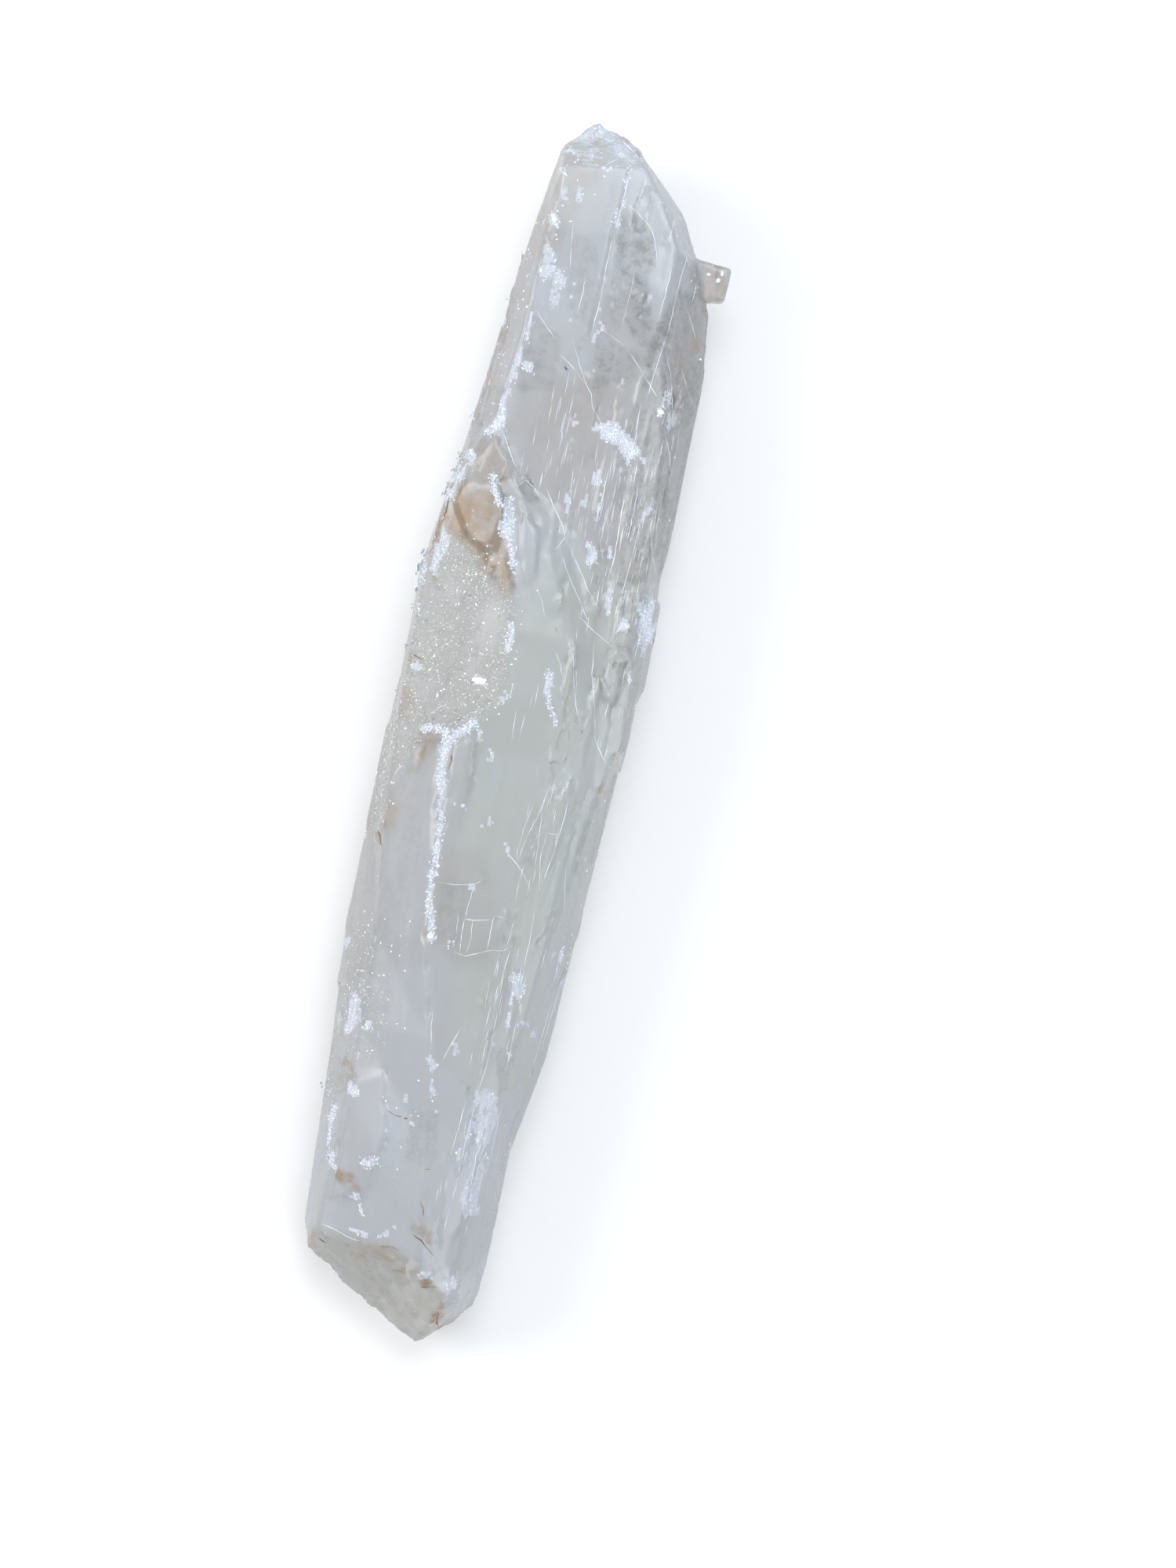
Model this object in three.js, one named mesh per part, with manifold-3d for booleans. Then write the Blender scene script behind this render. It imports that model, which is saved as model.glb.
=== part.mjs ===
// A natural selenite crystal, lying down: one grown piece with a point at each end.
// Millimetres. +Y runs along the crystal to its sharper point, +X to the right as seen
// from above, +Z up. The origin is on the flat that it rests on, at half its length.
import * as THREE from "three";
import { mergeVertices } from "three/addons/utils/BufferGeometryUtils.js";
import Module from "manifold-3d";

const wasm = await Module();
wasm.setup();

// Driving dimensions
const END_UP = 149.8; // the sharper point, from the origin
const END_LOW = -149.6; // the blunter point
const OVERRUN = 4; // the prism runs on this far past each point, and the end faces cut it
const REST = 0; // height of the flat that it rests on
const LEDGE = 1.1; // step of a broken cleavage plate
const SUNK = 2.5; // how deep the root of a plate or splinter reaches into a face
const GRAIN_SUNK = 0.25; // share of a sugar crystal's size that is inside the face
const CHIP_SUNK = 0.3; // the same for a chip of a crushed edge
const MIDDLE = 18; // height of the middle line, which runs inside the crystal all along
const FAR = 400; // larger than the crystal, for cutting tools
const SEED = 11;

// The lengthwise edges of the prism, from the left waist over the top to the right and
// under. Each is a list of [y, x, z] from the sharper point to the blunter one.
const EDGES = {
  leftWaist: [
    [154, -12.5, 24], [143, -13.9, 26], [123, -17.2, 25], [94, -20.9, 21], [64, -24.6, 18],
    [36, -28.8, 18], [15, -28.1, 19], [-5, -29, 18], [-52, -30.3, 17], [-82, -28, 16],
    [-126, -26.4, 15], [-154, -25.5, 14],
  ],
  leftShoulder: [
    [154, -12.2, 33], [121, -13.8, 34], [94, -15, 34.4], [72, -17.6, 34.4], [63, -21.8, 33.2],
    [52, -25.4, 32], [36, -27.2, 30.6], [9, -26.6, 30.2], [-5, -26.4, 30], [-20, -25.6, 30.6],
    [-52, -22.1, 31.6], [-75, -21.2, 30.6], [-100, -21.6, 28.4], [-125, -22.4, 25.6],
    [-154, -22.6, 24],
  ],
  crest: [
    [154, -9, 33.6], [72, -15.4, 34.6], [63, -14.9, 35.4], [52, -10.8, 37], [44, -7.3, 38.2],
    [27, -3.8, 39.8], [9, -1.6, 40.4], [-5, -13.4, 39.2], [-20, -12.9, 40.2], [-52, -9.3, 41],
    [-75, -4.2, 40.6], [-100, 0.4, 39.2], [-125, 2.6, 36.6], [-154, 3.4, 33],
  ],
  bevel: [
    [154, -6, 33.8], [72, -14, 34.8], [63, -12.4, 35.9], [57, -7.4, 36.9], [49, -1, 37.6],
    [36, 5.9, 38.2], [24, 10.9, 38.6], [9, 15.8, 38.2], [-5, 18.6, 36.8], [-20, 9.8, 38],
    [-52, 3.6, 39.5], [-100, 5.6, 38.2], [-154, 6.2, 32.5],
  ],
  contact: [
    [154, -4, 34], [72, -12.4, 34.8], [63, -9.8, 35.1], [57, -1.8, 35.2], [49, 4.4, 35.3],
    [36, 11.7, 35.6], [24, 16.5, 35.8], [9, 21.2, 35.2], [-5, 22.6, 34], [-20, 15.5, 36.6],
    [-52, 8.6, 38.4], [-100, 9.4, 37], [-154, 8.6, 32],
  ],
  rightShoulder: [
    [154, -2.4, 33.4], [140, 5.6, 34.8], [131, 13, 35.6], [121, 18.4, 36.2], [109, 17.8, 37],
    [94, 20.2, 36.8], [72, 23.8, 36.2], [36, 26, 35], [9, 26.6, 33.8], [-5, 25.4, 33],
    [-52, 18.8, 34.6], [-100, 14.2, 33.6], [-154, 12.2, 30],
  ],
  rightWaist: [
    [154, -3, 24], [147, 1, 24], [138, 10.6, 24], [131, 18, 23.4], [121, 23.3, 22.4],
    [109, 28.5, 20.6], [94, 30.4, 20], [52, 30, 19], [44, 29.2, 19], [36, 29.4, 19],
    [9, 29.2, 18.6], [-5, 28.2, 18], [-52, 25.5, 18], [-75, 24.3, 18], [-100, 20, 18],
    [-125, 19.7, 17.4], [-137, 19.6, 16.8], [-154, 19, 16],
  ],
  rightHeel: [
    [154, -4, 12], [131, 14, 11], [109, 25.6, 9], [52, 28, 8.4], [-5, 26, 8],
    [-52, 23.4, 8], [-100, 18, 8.6], [-154, 15.6, 9],
  ],
  rightFoot: [
    [154, -5, REST], [109, 17.4, REST], [52, 19, REST], [-5, 17.6, REST],
    [-100, 11.6, REST], [-154, 9, REST],
  ],
  leftFoot: [
    [154, -8, REST], [94, -12.6, REST], [36, -17.6, REST], [-52, -18.4, REST], [-154, -14.6, REST],
  ],
  leftHeel: [
    [154, -11, 12], [94, -17.6, 10], [36, -26.2, 9.4], [-52, -27.8, 8.6], [-126, -24, 8.2],
    [-154, -22, 8.4],
  ],
};
const STATIONS = [
  END_UP + OVERRUN, 143, 131, 121, 109, 94, 72, 63, 57, 52, 44, 36, 24, 9,
  -5, -20, -52, -75, -100, -125, -137, END_LOW - OVERRUN,
];

// The flat faces that end the prism, each as three points on it
const END_FACES = [
  [[-13, 137.5, 34], [6, 139, 34.8], [-6.5, END_UP, 20]],
  [[-14.2, 143, 20], [-6.5, END_UP, 20], [-12, 142, 33]],
  [[-6.5, END_UP, 20], [1.4, 146.2, 22], [-2, 145.5, 33]],
  [[-10, END_UP, 19], [5, END_UP, 19], [0, 124, REST]],
  [[-24.2, -127.6, 24], [9.1, -134.2, 34.6], [2.2, -148.4, 14]],
  [[-24.6, -129, 17], [-14.6, -138, 15.4], [-17, -128, REST]],
  [[-16, -136.9, 15.6], [2.4, -148.8, 13.8], [-8, -134, REST]],
  [[2, -148.6, 14], [7.4, END_LOW, 13.6], [3, -142, REST]],
  [[20.2, -134.6, 16], [16, -141.6, 15.5], [16, -131, 32]],
  [[16.4, -141, 15.5], [9.4, -147.4, 13.8], [11.6, -139, 33]],
  [[9.7, -147.1, 14], [7, END_LOW, 13.4], [8, -141, 30]],
  [[17, -141, 14], [6.4, END_LOW, 13], [8, -126, REST]],
];

// Broken cleavage plates on the upper faces. Each corner is [x, y, height above the face],
// and a corner below the face lets that end of the plate run out.
const PLATES = [
  [[-12.9, 136.6, 0.9], [2.8, 138.6, LEDGE], [1.1, 96.2, LEDGE], [-3.6, 88, 0.1], [-12.6, 98, -0.4]],
  [
    [4.6, 129, 0.5], [7.6, 137, 0.7], [15.6, 128, 0.8],
    [12.8, 106, 0.6], [9.2, 92, -0.4], [4.4, 110, 0.1],
  ],
  [[14.9, 124.6, 0.9], [16, 129.6, 0.9], [19.6, 123, 1.4], [18.2, 98, 0.9], [16.4, 88, -0.3]],
  [[-21.4, 66, 1], [-16, 69.6, 1.5], [-11.6, 63.4, 1.2], [-12.6, 58.8, 1.9], [-21, 58.2, 1.4]],
  [
    [-23.6, 52.6, 1], [-21.4, 58, 1.7], [-13.4, 58.4, 2],
    [-9.6, 51.6, 1.6], [-12.4, 41.2, 0.7], [-18.2, 43.8, 0.8],
  ],
  [[-7.6, 56.2, 0.6], [-1.6, 48.4, 1.3], [-0.4, 38.6, 0.9], [-2.6, 33, -0.2], [-5.4, 43.6, 0.5]],
  [
    [-25.8, -8.4, 0.5], [-14.2, -4.2, 1.2], [-12, 1.6, 1.4],
    [-2.4, 9.4, 0.3], [-9, 24, -0.5], [-25.6, 20, -0.5],
  ],
  [[-12.2, -5.4, 1.2], [-8.2, 0.8, 1.1], [-5.6, -14, 0.5], [-6.6, -36, -0.4], [-11.2, -34, 0.9]],
  [[10.6, -26, 0.4], [16.4, -8, 0.9], [21.4, -4, 0.4], [18.4, -44, 0.9], [12.4, -58, -0.3]],
  [
    [7.2, -80, -0.3], [12.6, -74, 0.9], [15.6, -84, 1],
    [12.2, -118, 0.8], [7.4, -124, 0.3], [5, -108, 0.7],
  ],
  [[-20.6, -88, 0.7], [-13.4, -84, 0.3], [-9.6, -100, 0.5], [-12.4, -116, 0.7], [-21, -118, 0.9]],
];

// Where cleavage blocks have come away. Each corner is [x, y, depth below the face].
const HOLLOWS = [
  [[5.6, 129, 0.5], [9.4, 135.6, 0.4], [8, 124, 0.6]],
  [[-9.4, 59.8, 0.6], [-7, 61.6, 0.5], [-3, 57, 0.6], [-5.2, 55.4, 0.4]],
  [[9.6, 44, -0.2], [13.4, 47.6, 0.7], [17.6, 40.6, 0.6], [15.2, 33, -0.2]],
];

// Crystals that grew in line with the large one and out of its side faces. The section is
// [x, z] points, and the faces at both ends lean back by the given amounts.
const SIDE_HEIGHTS = [8, 26]; // where those end faces are set out
const SIDE_TILT = 2; // how far they tilt between those heights
const SIDE_CRYSTALS = [
  { section: [[22, 12], [29.4, 12.6], [30.6, 20], [28.4, 27], [21, 29]], y: [-6, 46], lean: [22, 7] },
  { section: [[16, 3], [25.4, 8.6], [26.4, 15], [18, 20]], y: [-62, 12], lean: [16, 24] },
  { section: [[14, 20], [25.2, 19.4], [24, 25], [19.2, 31]], y: [-78, -12], lean: [24, 16] },
  { section: [[-16, 4], [-26.4, 9.6], [-28.6, 14.6], [-28.4, 20], [-20, 27]], y: [-28, 30], lean: [18, 20] },
  { section: [[-14, 3], [-27.6, 8.4], [-29.7, 14], [-28.6, 20], [-18, 22]], y: [-88, -32], lean: [20, 14] },
  { section: [[-10, 8], [-20.4, 15], [-21.6, 22], [-18.4, 28.6], [-10, 28]], y: [44, 92], lean: [12, 22] },
  { section: [[12, 8], [27.2, 11], [29.4, 17], [20, 28]], y: [60, 112], lean: [20, 16] },
  { section: [[6, 5], [17.8, 10], [19.6, 16], [13, 24]], y: [-134, -88], lean: [10, 16] },
  { section: [[-10, 4], [-23.6, 8.2], [-26.8, 13.4], [-24, 20], [-14, 22]], y: [-126, -84], lean: [12, 18] },
];

// The short crystal that stands across the right edge near the sharper point
const CROSS_CRYSTAL = {
  corners: [[19, 116.8], [22, 121.6], [31.8, 120.8], [31.4, 112.4], [27.4, 111.8], [20, 112.6]],
  low: 16.5,
  high: 23.5,
};

// Sugary growth: small crystals crowded on part of a face, inside an outline of [x, y]
const SUGAR = [
  {
    outline: [[-26, 46], [-17, 42], [-9, 40], [-4.5, 26], [-3, 12], [-12, -2], [-26.4, -3]],
    pitch: 3.1,
    size: 0.95,
  },
  { outline: [[-28, -4], [-19, -4], [-24.5, -20], [-28, -30]], pitch: 3.2, size: 0.85 },
  { outline: [[-27, -56], [-21, -56], [-18, -74], [-21, -92], [-27, -88]], pitch: 3.2, size: 0.9 },
];

// Crushed edges: chips along [x, y] points, scattered to either side by the spread
const BRUISES = [
  { path: [[-20.2, -2.4], [-17, -2.2], [-13.2, -4.2], [-8.6, 0.8]], count: 13, size: 1.1, spread: 0.7 },
  { path: [[-14.2, -5], [-14, -14], [-12.4, -24], [-9.2, -51.8]], count: 30, size: 0.9, spread: 0.3 },
  { path: [[-14.8, 60], [-13.2, 54.8]], count: 5, size: 1.1, spread: 0.4 },
  { path: [[-10.4, 55], [-8.6, 46], [-6, 40]], count: 11, size: 1.2, spread: 0.7 },
  { path: [[-4.4, 25.5], [-3.8, 20]], count: 5, size: 1, spread: 0.4 },
  { path: [[-18.4, 71.4], [-16.8, 74.8]], count: 4, size: 1.3, spread: 0.5 },
  { path: [[-21.4, -92], [-24, -100], [-22.6, -109]], count: 10, size: 1.1, spread: 1 },
  { path: [[-27.6, 36], [-27.4, 31.6]], count: 3, size: 1.8, spread: 0.2 },
  { path: [[-27, 27], [-26.8, 25]], count: 2, size: 1.5, spread: 0.2 },
  { path: [[-24, -127], [-14, -128], [-4, -127.6], [9, -134.6]], count: 16, size: 1, spread: 0.8 },
  { path: [[-12.8, 138], [-13.6, 126], [-13.8, 112]], count: 12, size: 1, spread: 0.5 },
];

// Cleavage splinters lying along the crystal: angle round it (0 is +X and 90 is up),
// the stretch of y, how many, and their size
const SPLINTERS = [
  { angle: [24, 62], y: [-20, 104], count: 24, length: [14, 46], width: 2.2 },
  { angle: [64, 86], y: [24, 94], count: 14, length: [8, 26], width: 1.5 },
  { angle: [-20, 20], y: [48, 108], count: 6, length: [16, 36], width: 2.2 },
  { angle: [-20, 20], y: [-118, 30], count: 10, length: [16, 36], width: 2.2 },
  { angle: [48, 74], y: [-122, -36], count: 14, length: [12, 36], width: 1.8 },
  { angle: [168, 198], y: [-46, 12], count: 7, length: [14, 30], width: 1.8 },
  { angle: [168, 198], y: [-118, -56], count: 6, length: [14, 30], width: 1.8 },
  { angle: [150, 170], y: [40, 120], count: 6, length: [14, 34], width: 1 },
  { angle: [205, 240], y: [-104, 100], count: 7, length: [24, 56], width: 3 },
  { angle: [300, 335], y: [-104, 100], count: 7, length: [24, 56], width: 3 },
];
const SPLINTER_OUTLINE = [[-0.5, -0.36], [0.1, -0.5], [0.5, -0.4], [0.34, 0.3], [-0.2, 0.5], [-0.5, 0.24]];
const SPLINTER_RISE = 0.22; // of its width, above the face
const SPLINTER_TILT = 0.16; // radians at most, about its long axis

THREE.MathUtils.seededRandom(SEED);
const random = (low = 0, high = 1) => low + (high - low) * THREE.MathUtils.seededRandom();

// A closed geometry as a solid that can be cut and joined
function solid(geometry) {
  const bare = geometry.clone();
  bare.deleteAttribute("normal");
  bare.deleteAttribute("uv");
  const merged = mergeVertices(bare, 1e-4);
  return new wasm.Manifold(
    new wasm.Mesh({
      numProp: 3,
      vertProperties: new Float32Array(merged.attributes.position.array),
      triVerts: new Uint32Array(merged.index.array),
    }),
  );
}

function geometryOf(manifold) {
  const mesh = manifold.getMesh();
  const geometry = new THREE.BufferGeometry();
  geometry.setAttribute("position", new THREE.BufferAttribute(mesh.vertProperties, 3));
  geometry.setIndex(new THREE.BufferAttribute(mesh.triVerts, 1));
  return geometry;
}

// A solid from corner points and faces given as lists of corner numbers
function polyhedron(points, faces) {
  const index = [];
  for (const face of faces) {
    for (let i = 1; i + 1 < face.length; i++) index.push(face[0], face[i], face[i + 1]);
  }
  const geometry = new THREE.BufferGeometry();
  geometry.setAttribute("position", new THREE.Float32BufferAttribute(points.flat(), 3));
  geometry.setIndex(index);
  return solid(geometry);
}

// Where a lengthwise edge passes y, as [x, y, z]
function edgeAt(edge, y) {
  const after = edge.findIndex(([knot]) => knot <= y);
  if (after <= 0) return [edge.at(after)[1], y, edge.at(after)[2]];
  const [y0, x0, z0] = edge[after - 1];
  const [y1, x1, z1] = edge[after];
  const share = (y0 - y) / (y0 - y1);
  return [x0 + (x1 - x0) * share, y, z0 + (z1 - z0) * share];
}

// The prism: its edges joined by faces from station to station, and closed at both ends
function prism() {
  const edges = Object.values(EDGES);
  const around = edges.length;
  const points = STATIONS.flatMap((y) => edges.map((edge) => edgeAt(edge, y)));
  const faces = [];
  for (let ring = 0; ring + 1 < STATIONS.length; ring++) {
    for (let i = 0; i < around; i++) {
      const here = ring * around + i;
      const next = ring * around + ((i + 1) % around);
      faces.push([here, here + around, next + around, next]);
    }
  }
  const last = (STATIONS.length - 1) * around;
  faces.push(Array.from({ length: around }, (_, i) => i));
  faces.push(Array.from({ length: around }, (_, i) => last + around - 1 - i));
  return polyhedron(points, faces);
}

// Everything on the outer side of the plane through three points, seen from the middle
function beyond(face, inside = new THREE.Vector3(0, 0, MIDDLE)) {
  const plane = new THREE.Plane().setFromCoplanarPoints(...face.map((p) => new THREE.Vector3(...p)));
  if (plane.distanceToPoint(inside) > 0) plane.negate();
  const turn = new THREE.Quaternion().setFromUnitVectors(new THREE.Vector3(0, 0, 1), plane.normal);
  const tool = new THREE.BoxGeometry(FAR, FAR, FAR);
  tool.translate(0, 0, FAR / 2).applyQuaternion(turn);
  const foot = plane.projectPoint(new THREE.Vector3(...face[0]), new THREE.Vector3());
  return solid(tool.translate(foot.x, foot.y, foot.z));
}

// The first point of a mesh that a ray meets, with the face's normal
function touch(mesh, from, direction) {
  const caster = new THREE.Raycaster(from, direction.clone().normalize());
  const hit = caster.intersectObject(mesh)[0];
  return hit && { point: hit.point, normal: hit.face.normal };
}

const fromAbove = (mesh, x, y) => touch(mesh, new THREE.Vector3(x, y, FAR), new THREE.Vector3(0, 0, -1));

// From outside at an angle round the crystal, towards its middle line
function fromRound(mesh, angle, y) {
  const turn = THREE.MathUtils.degToRad(angle);
  const out = new THREE.Vector3(Math.cos(turn), 0, Math.sin(turn));
  const start = out.clone().multiplyScalar(FAR).add(new THREE.Vector3(0, y, MIDDLE));
  return touch(mesh, start, out.negate());
}

// A block whose one end follows the upper face, and whose other end is above or below it
function blockOnFace(mesh, corners, near, far) {
  const count = corners.length;
  const skin = corners.map(([x, y, step]) => [x, y, fromAbove(mesh, x, y).point.z + near(step)]);
  const root = skin.map(([x, y, z]) => [x, y, z + far]);
  const [low, high] = far < 0 ? [root, skin] : [skin, root];
  const clockwise = THREE.ShapeUtils.isClockWise(corners.map(([x, y]) => new THREE.Vector2(x, y)));
  const ring = Array.from({ length: count }, (_, i) => (clockwise ? count - 1 - i : i));
  const faces = [ring.map((i) => i + count), [...ring].reverse()];
  ring.forEach((here, i) => {
    const next = ring[(i + 1) % count];
    faces.push([here, next, next + count, here + count]);
  });
  return polyhedron([...low, ...high], faces);
}

const plate = (mesh, corners) => blockOnFace(mesh, corners, (step) => step, -SUNK);
const hollow = (mesh, corners) => blockOnFace(mesh, corners, (step) => -step, 2 * SUNK);

// A crystal along Y whose end faces lean back, so that each end comes to an edge
function sideCrystal({ section, y: [low, high], lean: [leanLow, leanHigh] }) {
  const outline = new THREE.Shape(section.map(([x, z]) => new THREE.Vector2(x, z)));
  const body = new THREE.ExtrudeGeometry(outline, { depth: high - low, bevelEnabled: false });
  body.rotateX(Math.PI / 2).translate(0, high, 0);
  const root = section[0][0];
  const tip = Math.sign(root) * Math.max(...section.map(([x]) => Math.abs(x)));
  const middle = new THREE.Vector3((root + tip) / 2, (low + high) / 2, MIDDLE);
  const [down, up] = SIDE_HEIGHTS;
  const lowFace = [[root, low, down], [tip, low + leanLow, down], [root, low + SIDE_TILT, up]];
  const highFace = [[root, high, down], [tip, high - leanHigh, down], [root, high - SIDE_TILT, up]];
  return solid(body).subtract(beyond(lowFace, middle)).subtract(beyond(highFace, middle));
}

function crossCrystal({ corners, low, high }) {
  const outline = new THREE.Shape(corners.map(([x, y]) => new THREE.Vector2(x, y)));
  const body = new THREE.ExtrudeGeometry(outline, { depth: high - low, bevelEnabled: false });
  return solid(body.translate(0, 0, low));
}

// A small shape placed on a face, stretched, turned about the face's normal and sunk in
function grown(shape, spot, stretch, turn, sink) {
  const upright = new THREE.Quaternion().setFromUnitVectors(new THREE.Vector3(0, 0, 1), spot.normal);
  const spin = new THREE.Quaternion().setFromAxisAngle(new THREE.Vector3(0, 0, 1), turn);
  const place = spot.point.clone().addScaledVector(spot.normal, -sink);
  const matrix = new THREE.Matrix4().compose(place, upright.multiply(spin), stretch);
  return solid(shape.clone().applyMatrix4(matrix));
}

function inside(outline, x, y) {
  let odd = false;
  outline.forEach(([ax, ay], i) => {
    const [bx, by] = outline[(i + 1) % outline.length];
    if (ay > y !== by > y && x < ax + ((y - ay) / (by - ay)) * (bx - ax)) odd = !odd;
  });
  return odd;
}

function sugar(mesh, { outline, pitch, size }) {
  const grains = [];
  const xs = outline.map(([x]) => x);
  const ys = outline.map(([, y]) => y);
  for (let x = Math.min(...xs); x < Math.max(...xs); x += pitch) {
    for (let y = Math.min(...ys); y < Math.max(...ys); y += pitch) {
      const px = x + random(-0.4, 0.4) * pitch;
      const py = y + random(-0.4, 0.4) * pitch;
      const scale = size * random(0.75, 1.35);
      const stretch = new THREE.Vector3(scale, scale * random(1, 1.5), scale * random(0.8, 1.15));
      const turn = random(0, Math.PI);
      if (!inside(outline, px, py)) continue;
      const spot = fromAbove(mesh, px, py);
      grains.push(grown(new THREE.OctahedronGeometry(1), spot, stretch, turn, GRAIN_SUNK * scale));
    }
  }
  return grains;
}

// The point a share of the way along a path of [x, y] points
function along(path, share) {
  const curve = new THREE.CurvePath();
  for (let i = 0; i + 1 < path.length; i++) {
    curve.add(new THREE.LineCurve(new THREE.Vector2(...path[i]), new THREE.Vector2(...path[i + 1])));
  }
  return curve.getPoint(share);
}

function bruise(mesh, { path, count, size, spread }) {
  return Array.from({ length: count }, (_, i) => {
    const { x, y } = along(path, (i + 0.5) / count);
    const spot = fromAbove(mesh, x + random(-spread, spread), y);
    const scale = size * random(0.6, 1.2);
    const stretch = new THREE.Vector3(scale, scale * random(0.8, 1.3), scale * random(0.7, 1));
    const chip = new THREE.OctahedronGeometry(1).rotateX(random(0, Math.PI)).rotateY(random(0, Math.PI));
    return grown(chip, spot, stretch, random(0, Math.PI), CHIP_SUNK * scale);
  });
}

function splinters(mesh, { angle, y, count, length, width }) {
  return Array.from({ length: count }, () => {
    const long = random(...length);
    const wide = width * random(0.6, 1.4);
    const corner = new THREE.Vector2(wide * Math.sign(random(-1, 1)), long * Math.sign(random(-1, 1)));
    const spot = fromRound(mesh, random(...angle), random(y[0] + long / 2, y[1] - long / 2));
    const outline = new THREE.Shape(SPLINTER_OUTLINE.map((p) => new THREE.Vector2(...p).multiply(corner)));
    const slat = new THREE.ExtrudeGeometry(outline, { depth: SUNK, bevelEnabled: false });
    slat.translate(0, 0, wide * SPLINTER_RISE - SUNK).rotateY(random(-SPLINTER_TILT, SPLINTER_TILT));
    // The long side follows the face, in the direction of the crystal
    const side = new THREE.Vector3(0, 1, 0).cross(spot.normal).normalize();
    const lengthwise = spot.normal.clone().cross(side);
    const matrix = new THREE.Matrix4().makeBasis(side, lengthwise, spot.normal);
    return solid(slat.applyMatrix4(matrix.setPosition(spot.point)));
  });
}

function crystal() {
  let body = prism();
  for (const face of END_FACES) body = body.subtract(beyond(face));
  const bare = new THREE.Mesh(geometryOf(body), new THREE.MeshBasicMaterial({ side: THREE.DoubleSide }));
  bare.geometry.computeVertexNormals();
  const hollows = HOLLOWS.map((one) => hollow(bare, one));
  const grownOn = [
    ...SIDE_CRYSTALS.map(sideCrystal),
    crossCrystal(CROSS_CRYSTAL),
    ...PLATES.map((one) => plate(bare, one)),
    ...SUGAR.flatMap((one) => sugar(bare, one)),
    ...BRUISES.flatMap((one) => bruise(bare, one)),
    ...SPLINTERS.flatMap((one) => splinters(bare, one)),
  ];
  for (const one of grownOn) body = body.add(one);
  for (const one of hollows) body = body.subtract(one);
  const under = new THREE.BoxGeometry(FAR, FAR, FAR).translate(0, 0, REST - FAR / 2);
  return geometryOf(body.subtract(solid(under)));
}

const selenite = new THREE.MeshStandardMaterial({ color: 0xb9beba, roughness: 0.35, metalness: 0 });
const mesh = new THREE.Mesh(crystal(), selenite);
mesh.name = "selenite_crystal";

const part = new THREE.Group();
part.add(mesh);

export default part;
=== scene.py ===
"""A natural selenite crystal lying on a pale floor, seen from above.

The solid of the frame gives the crystal's faces. This script wears its edges, roughens its broken
ends, grows sugary grains and cleavage splinters on it, crushes its bruised edges to white crumbs,
frosts the faces under its powder, and gives it the look of clouded, iron-stained gypsum. Lengths
are in metres, and places on the crystal are in millimetres, [x, y] as the camera sees them,
scaled by MM.
"""

import math

import bpy
import numpy as np
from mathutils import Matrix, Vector
from mathutils.bvhtree import BVHTree
from mathutils.kdtree import KDTree


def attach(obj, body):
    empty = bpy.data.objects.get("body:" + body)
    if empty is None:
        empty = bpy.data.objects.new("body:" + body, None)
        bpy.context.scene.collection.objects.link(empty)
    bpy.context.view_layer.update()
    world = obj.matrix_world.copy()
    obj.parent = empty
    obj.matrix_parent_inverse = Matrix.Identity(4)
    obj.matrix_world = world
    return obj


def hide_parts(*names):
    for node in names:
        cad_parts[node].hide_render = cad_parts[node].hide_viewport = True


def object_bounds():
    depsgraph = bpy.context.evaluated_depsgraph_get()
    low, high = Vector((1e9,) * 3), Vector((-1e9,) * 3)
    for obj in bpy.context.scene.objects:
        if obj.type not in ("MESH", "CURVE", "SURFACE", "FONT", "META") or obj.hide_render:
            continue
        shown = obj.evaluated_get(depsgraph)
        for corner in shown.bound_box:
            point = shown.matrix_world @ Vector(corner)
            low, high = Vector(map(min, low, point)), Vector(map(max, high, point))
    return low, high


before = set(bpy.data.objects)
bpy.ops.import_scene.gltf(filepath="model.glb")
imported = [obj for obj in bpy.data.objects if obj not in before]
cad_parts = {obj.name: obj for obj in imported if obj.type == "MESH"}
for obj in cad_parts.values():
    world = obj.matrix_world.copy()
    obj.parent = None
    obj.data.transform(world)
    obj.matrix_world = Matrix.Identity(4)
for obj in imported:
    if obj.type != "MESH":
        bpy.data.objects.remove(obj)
CAD_BOX = [list(corner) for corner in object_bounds()]
MM = 0.001
NODE = "selenite_crystal"

# The body's mesh
GRID_DEPTH = 9  # the remesh grid has two to this power cells along the crystal
GRID_SHARE = 0.74  # of which the crystal takes up this share
SHARP_ANGLE = math.radians(24)  # faces that meet at more than this make an edge that can chip
SHADE_ANGLE = math.radians(34)  # and at more than this, one that shades as a crease
CHIP_REACH = 1.5 * MM  # how far from an edge it is worn
CHIP_DEPTH = 0.5 * MM  # the deepest nick
EDGE_WEAR = 0.1 * MM  # what every edge loses
EASE_REACH = 1.6 * MM  # how far from an edge its steps are rounded
EASE_ROUNDS = 4
EASE_MOST = 0.6  # how far a point moves to its neighbours' middle in a round, at an edge
EASE_LEAST = 0.35  # and on the faces
SWELL = 0.14 * MM  # slow rise and fall of the grown faces
FURROW = 0.05 * MM  # lengthwise furrows
FRACTURE = 0.7 * MM  # roughness of the broken blunt end
END_LOW = -125 * MM  # the broken end starts here
END_UP = 141 * MM  # and the crumbly tip here
REST_HEIGHTS = (0.4 * MM, 1.5 * MM)  # below the first nothing is moved, and above the second all is
EDGE_SPACING = 0.8 * MM  # between the points that stand for a sharp edge
CORNER_WELD = 1e-7  # corners of the solid nearer than this, in metres, are one

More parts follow.
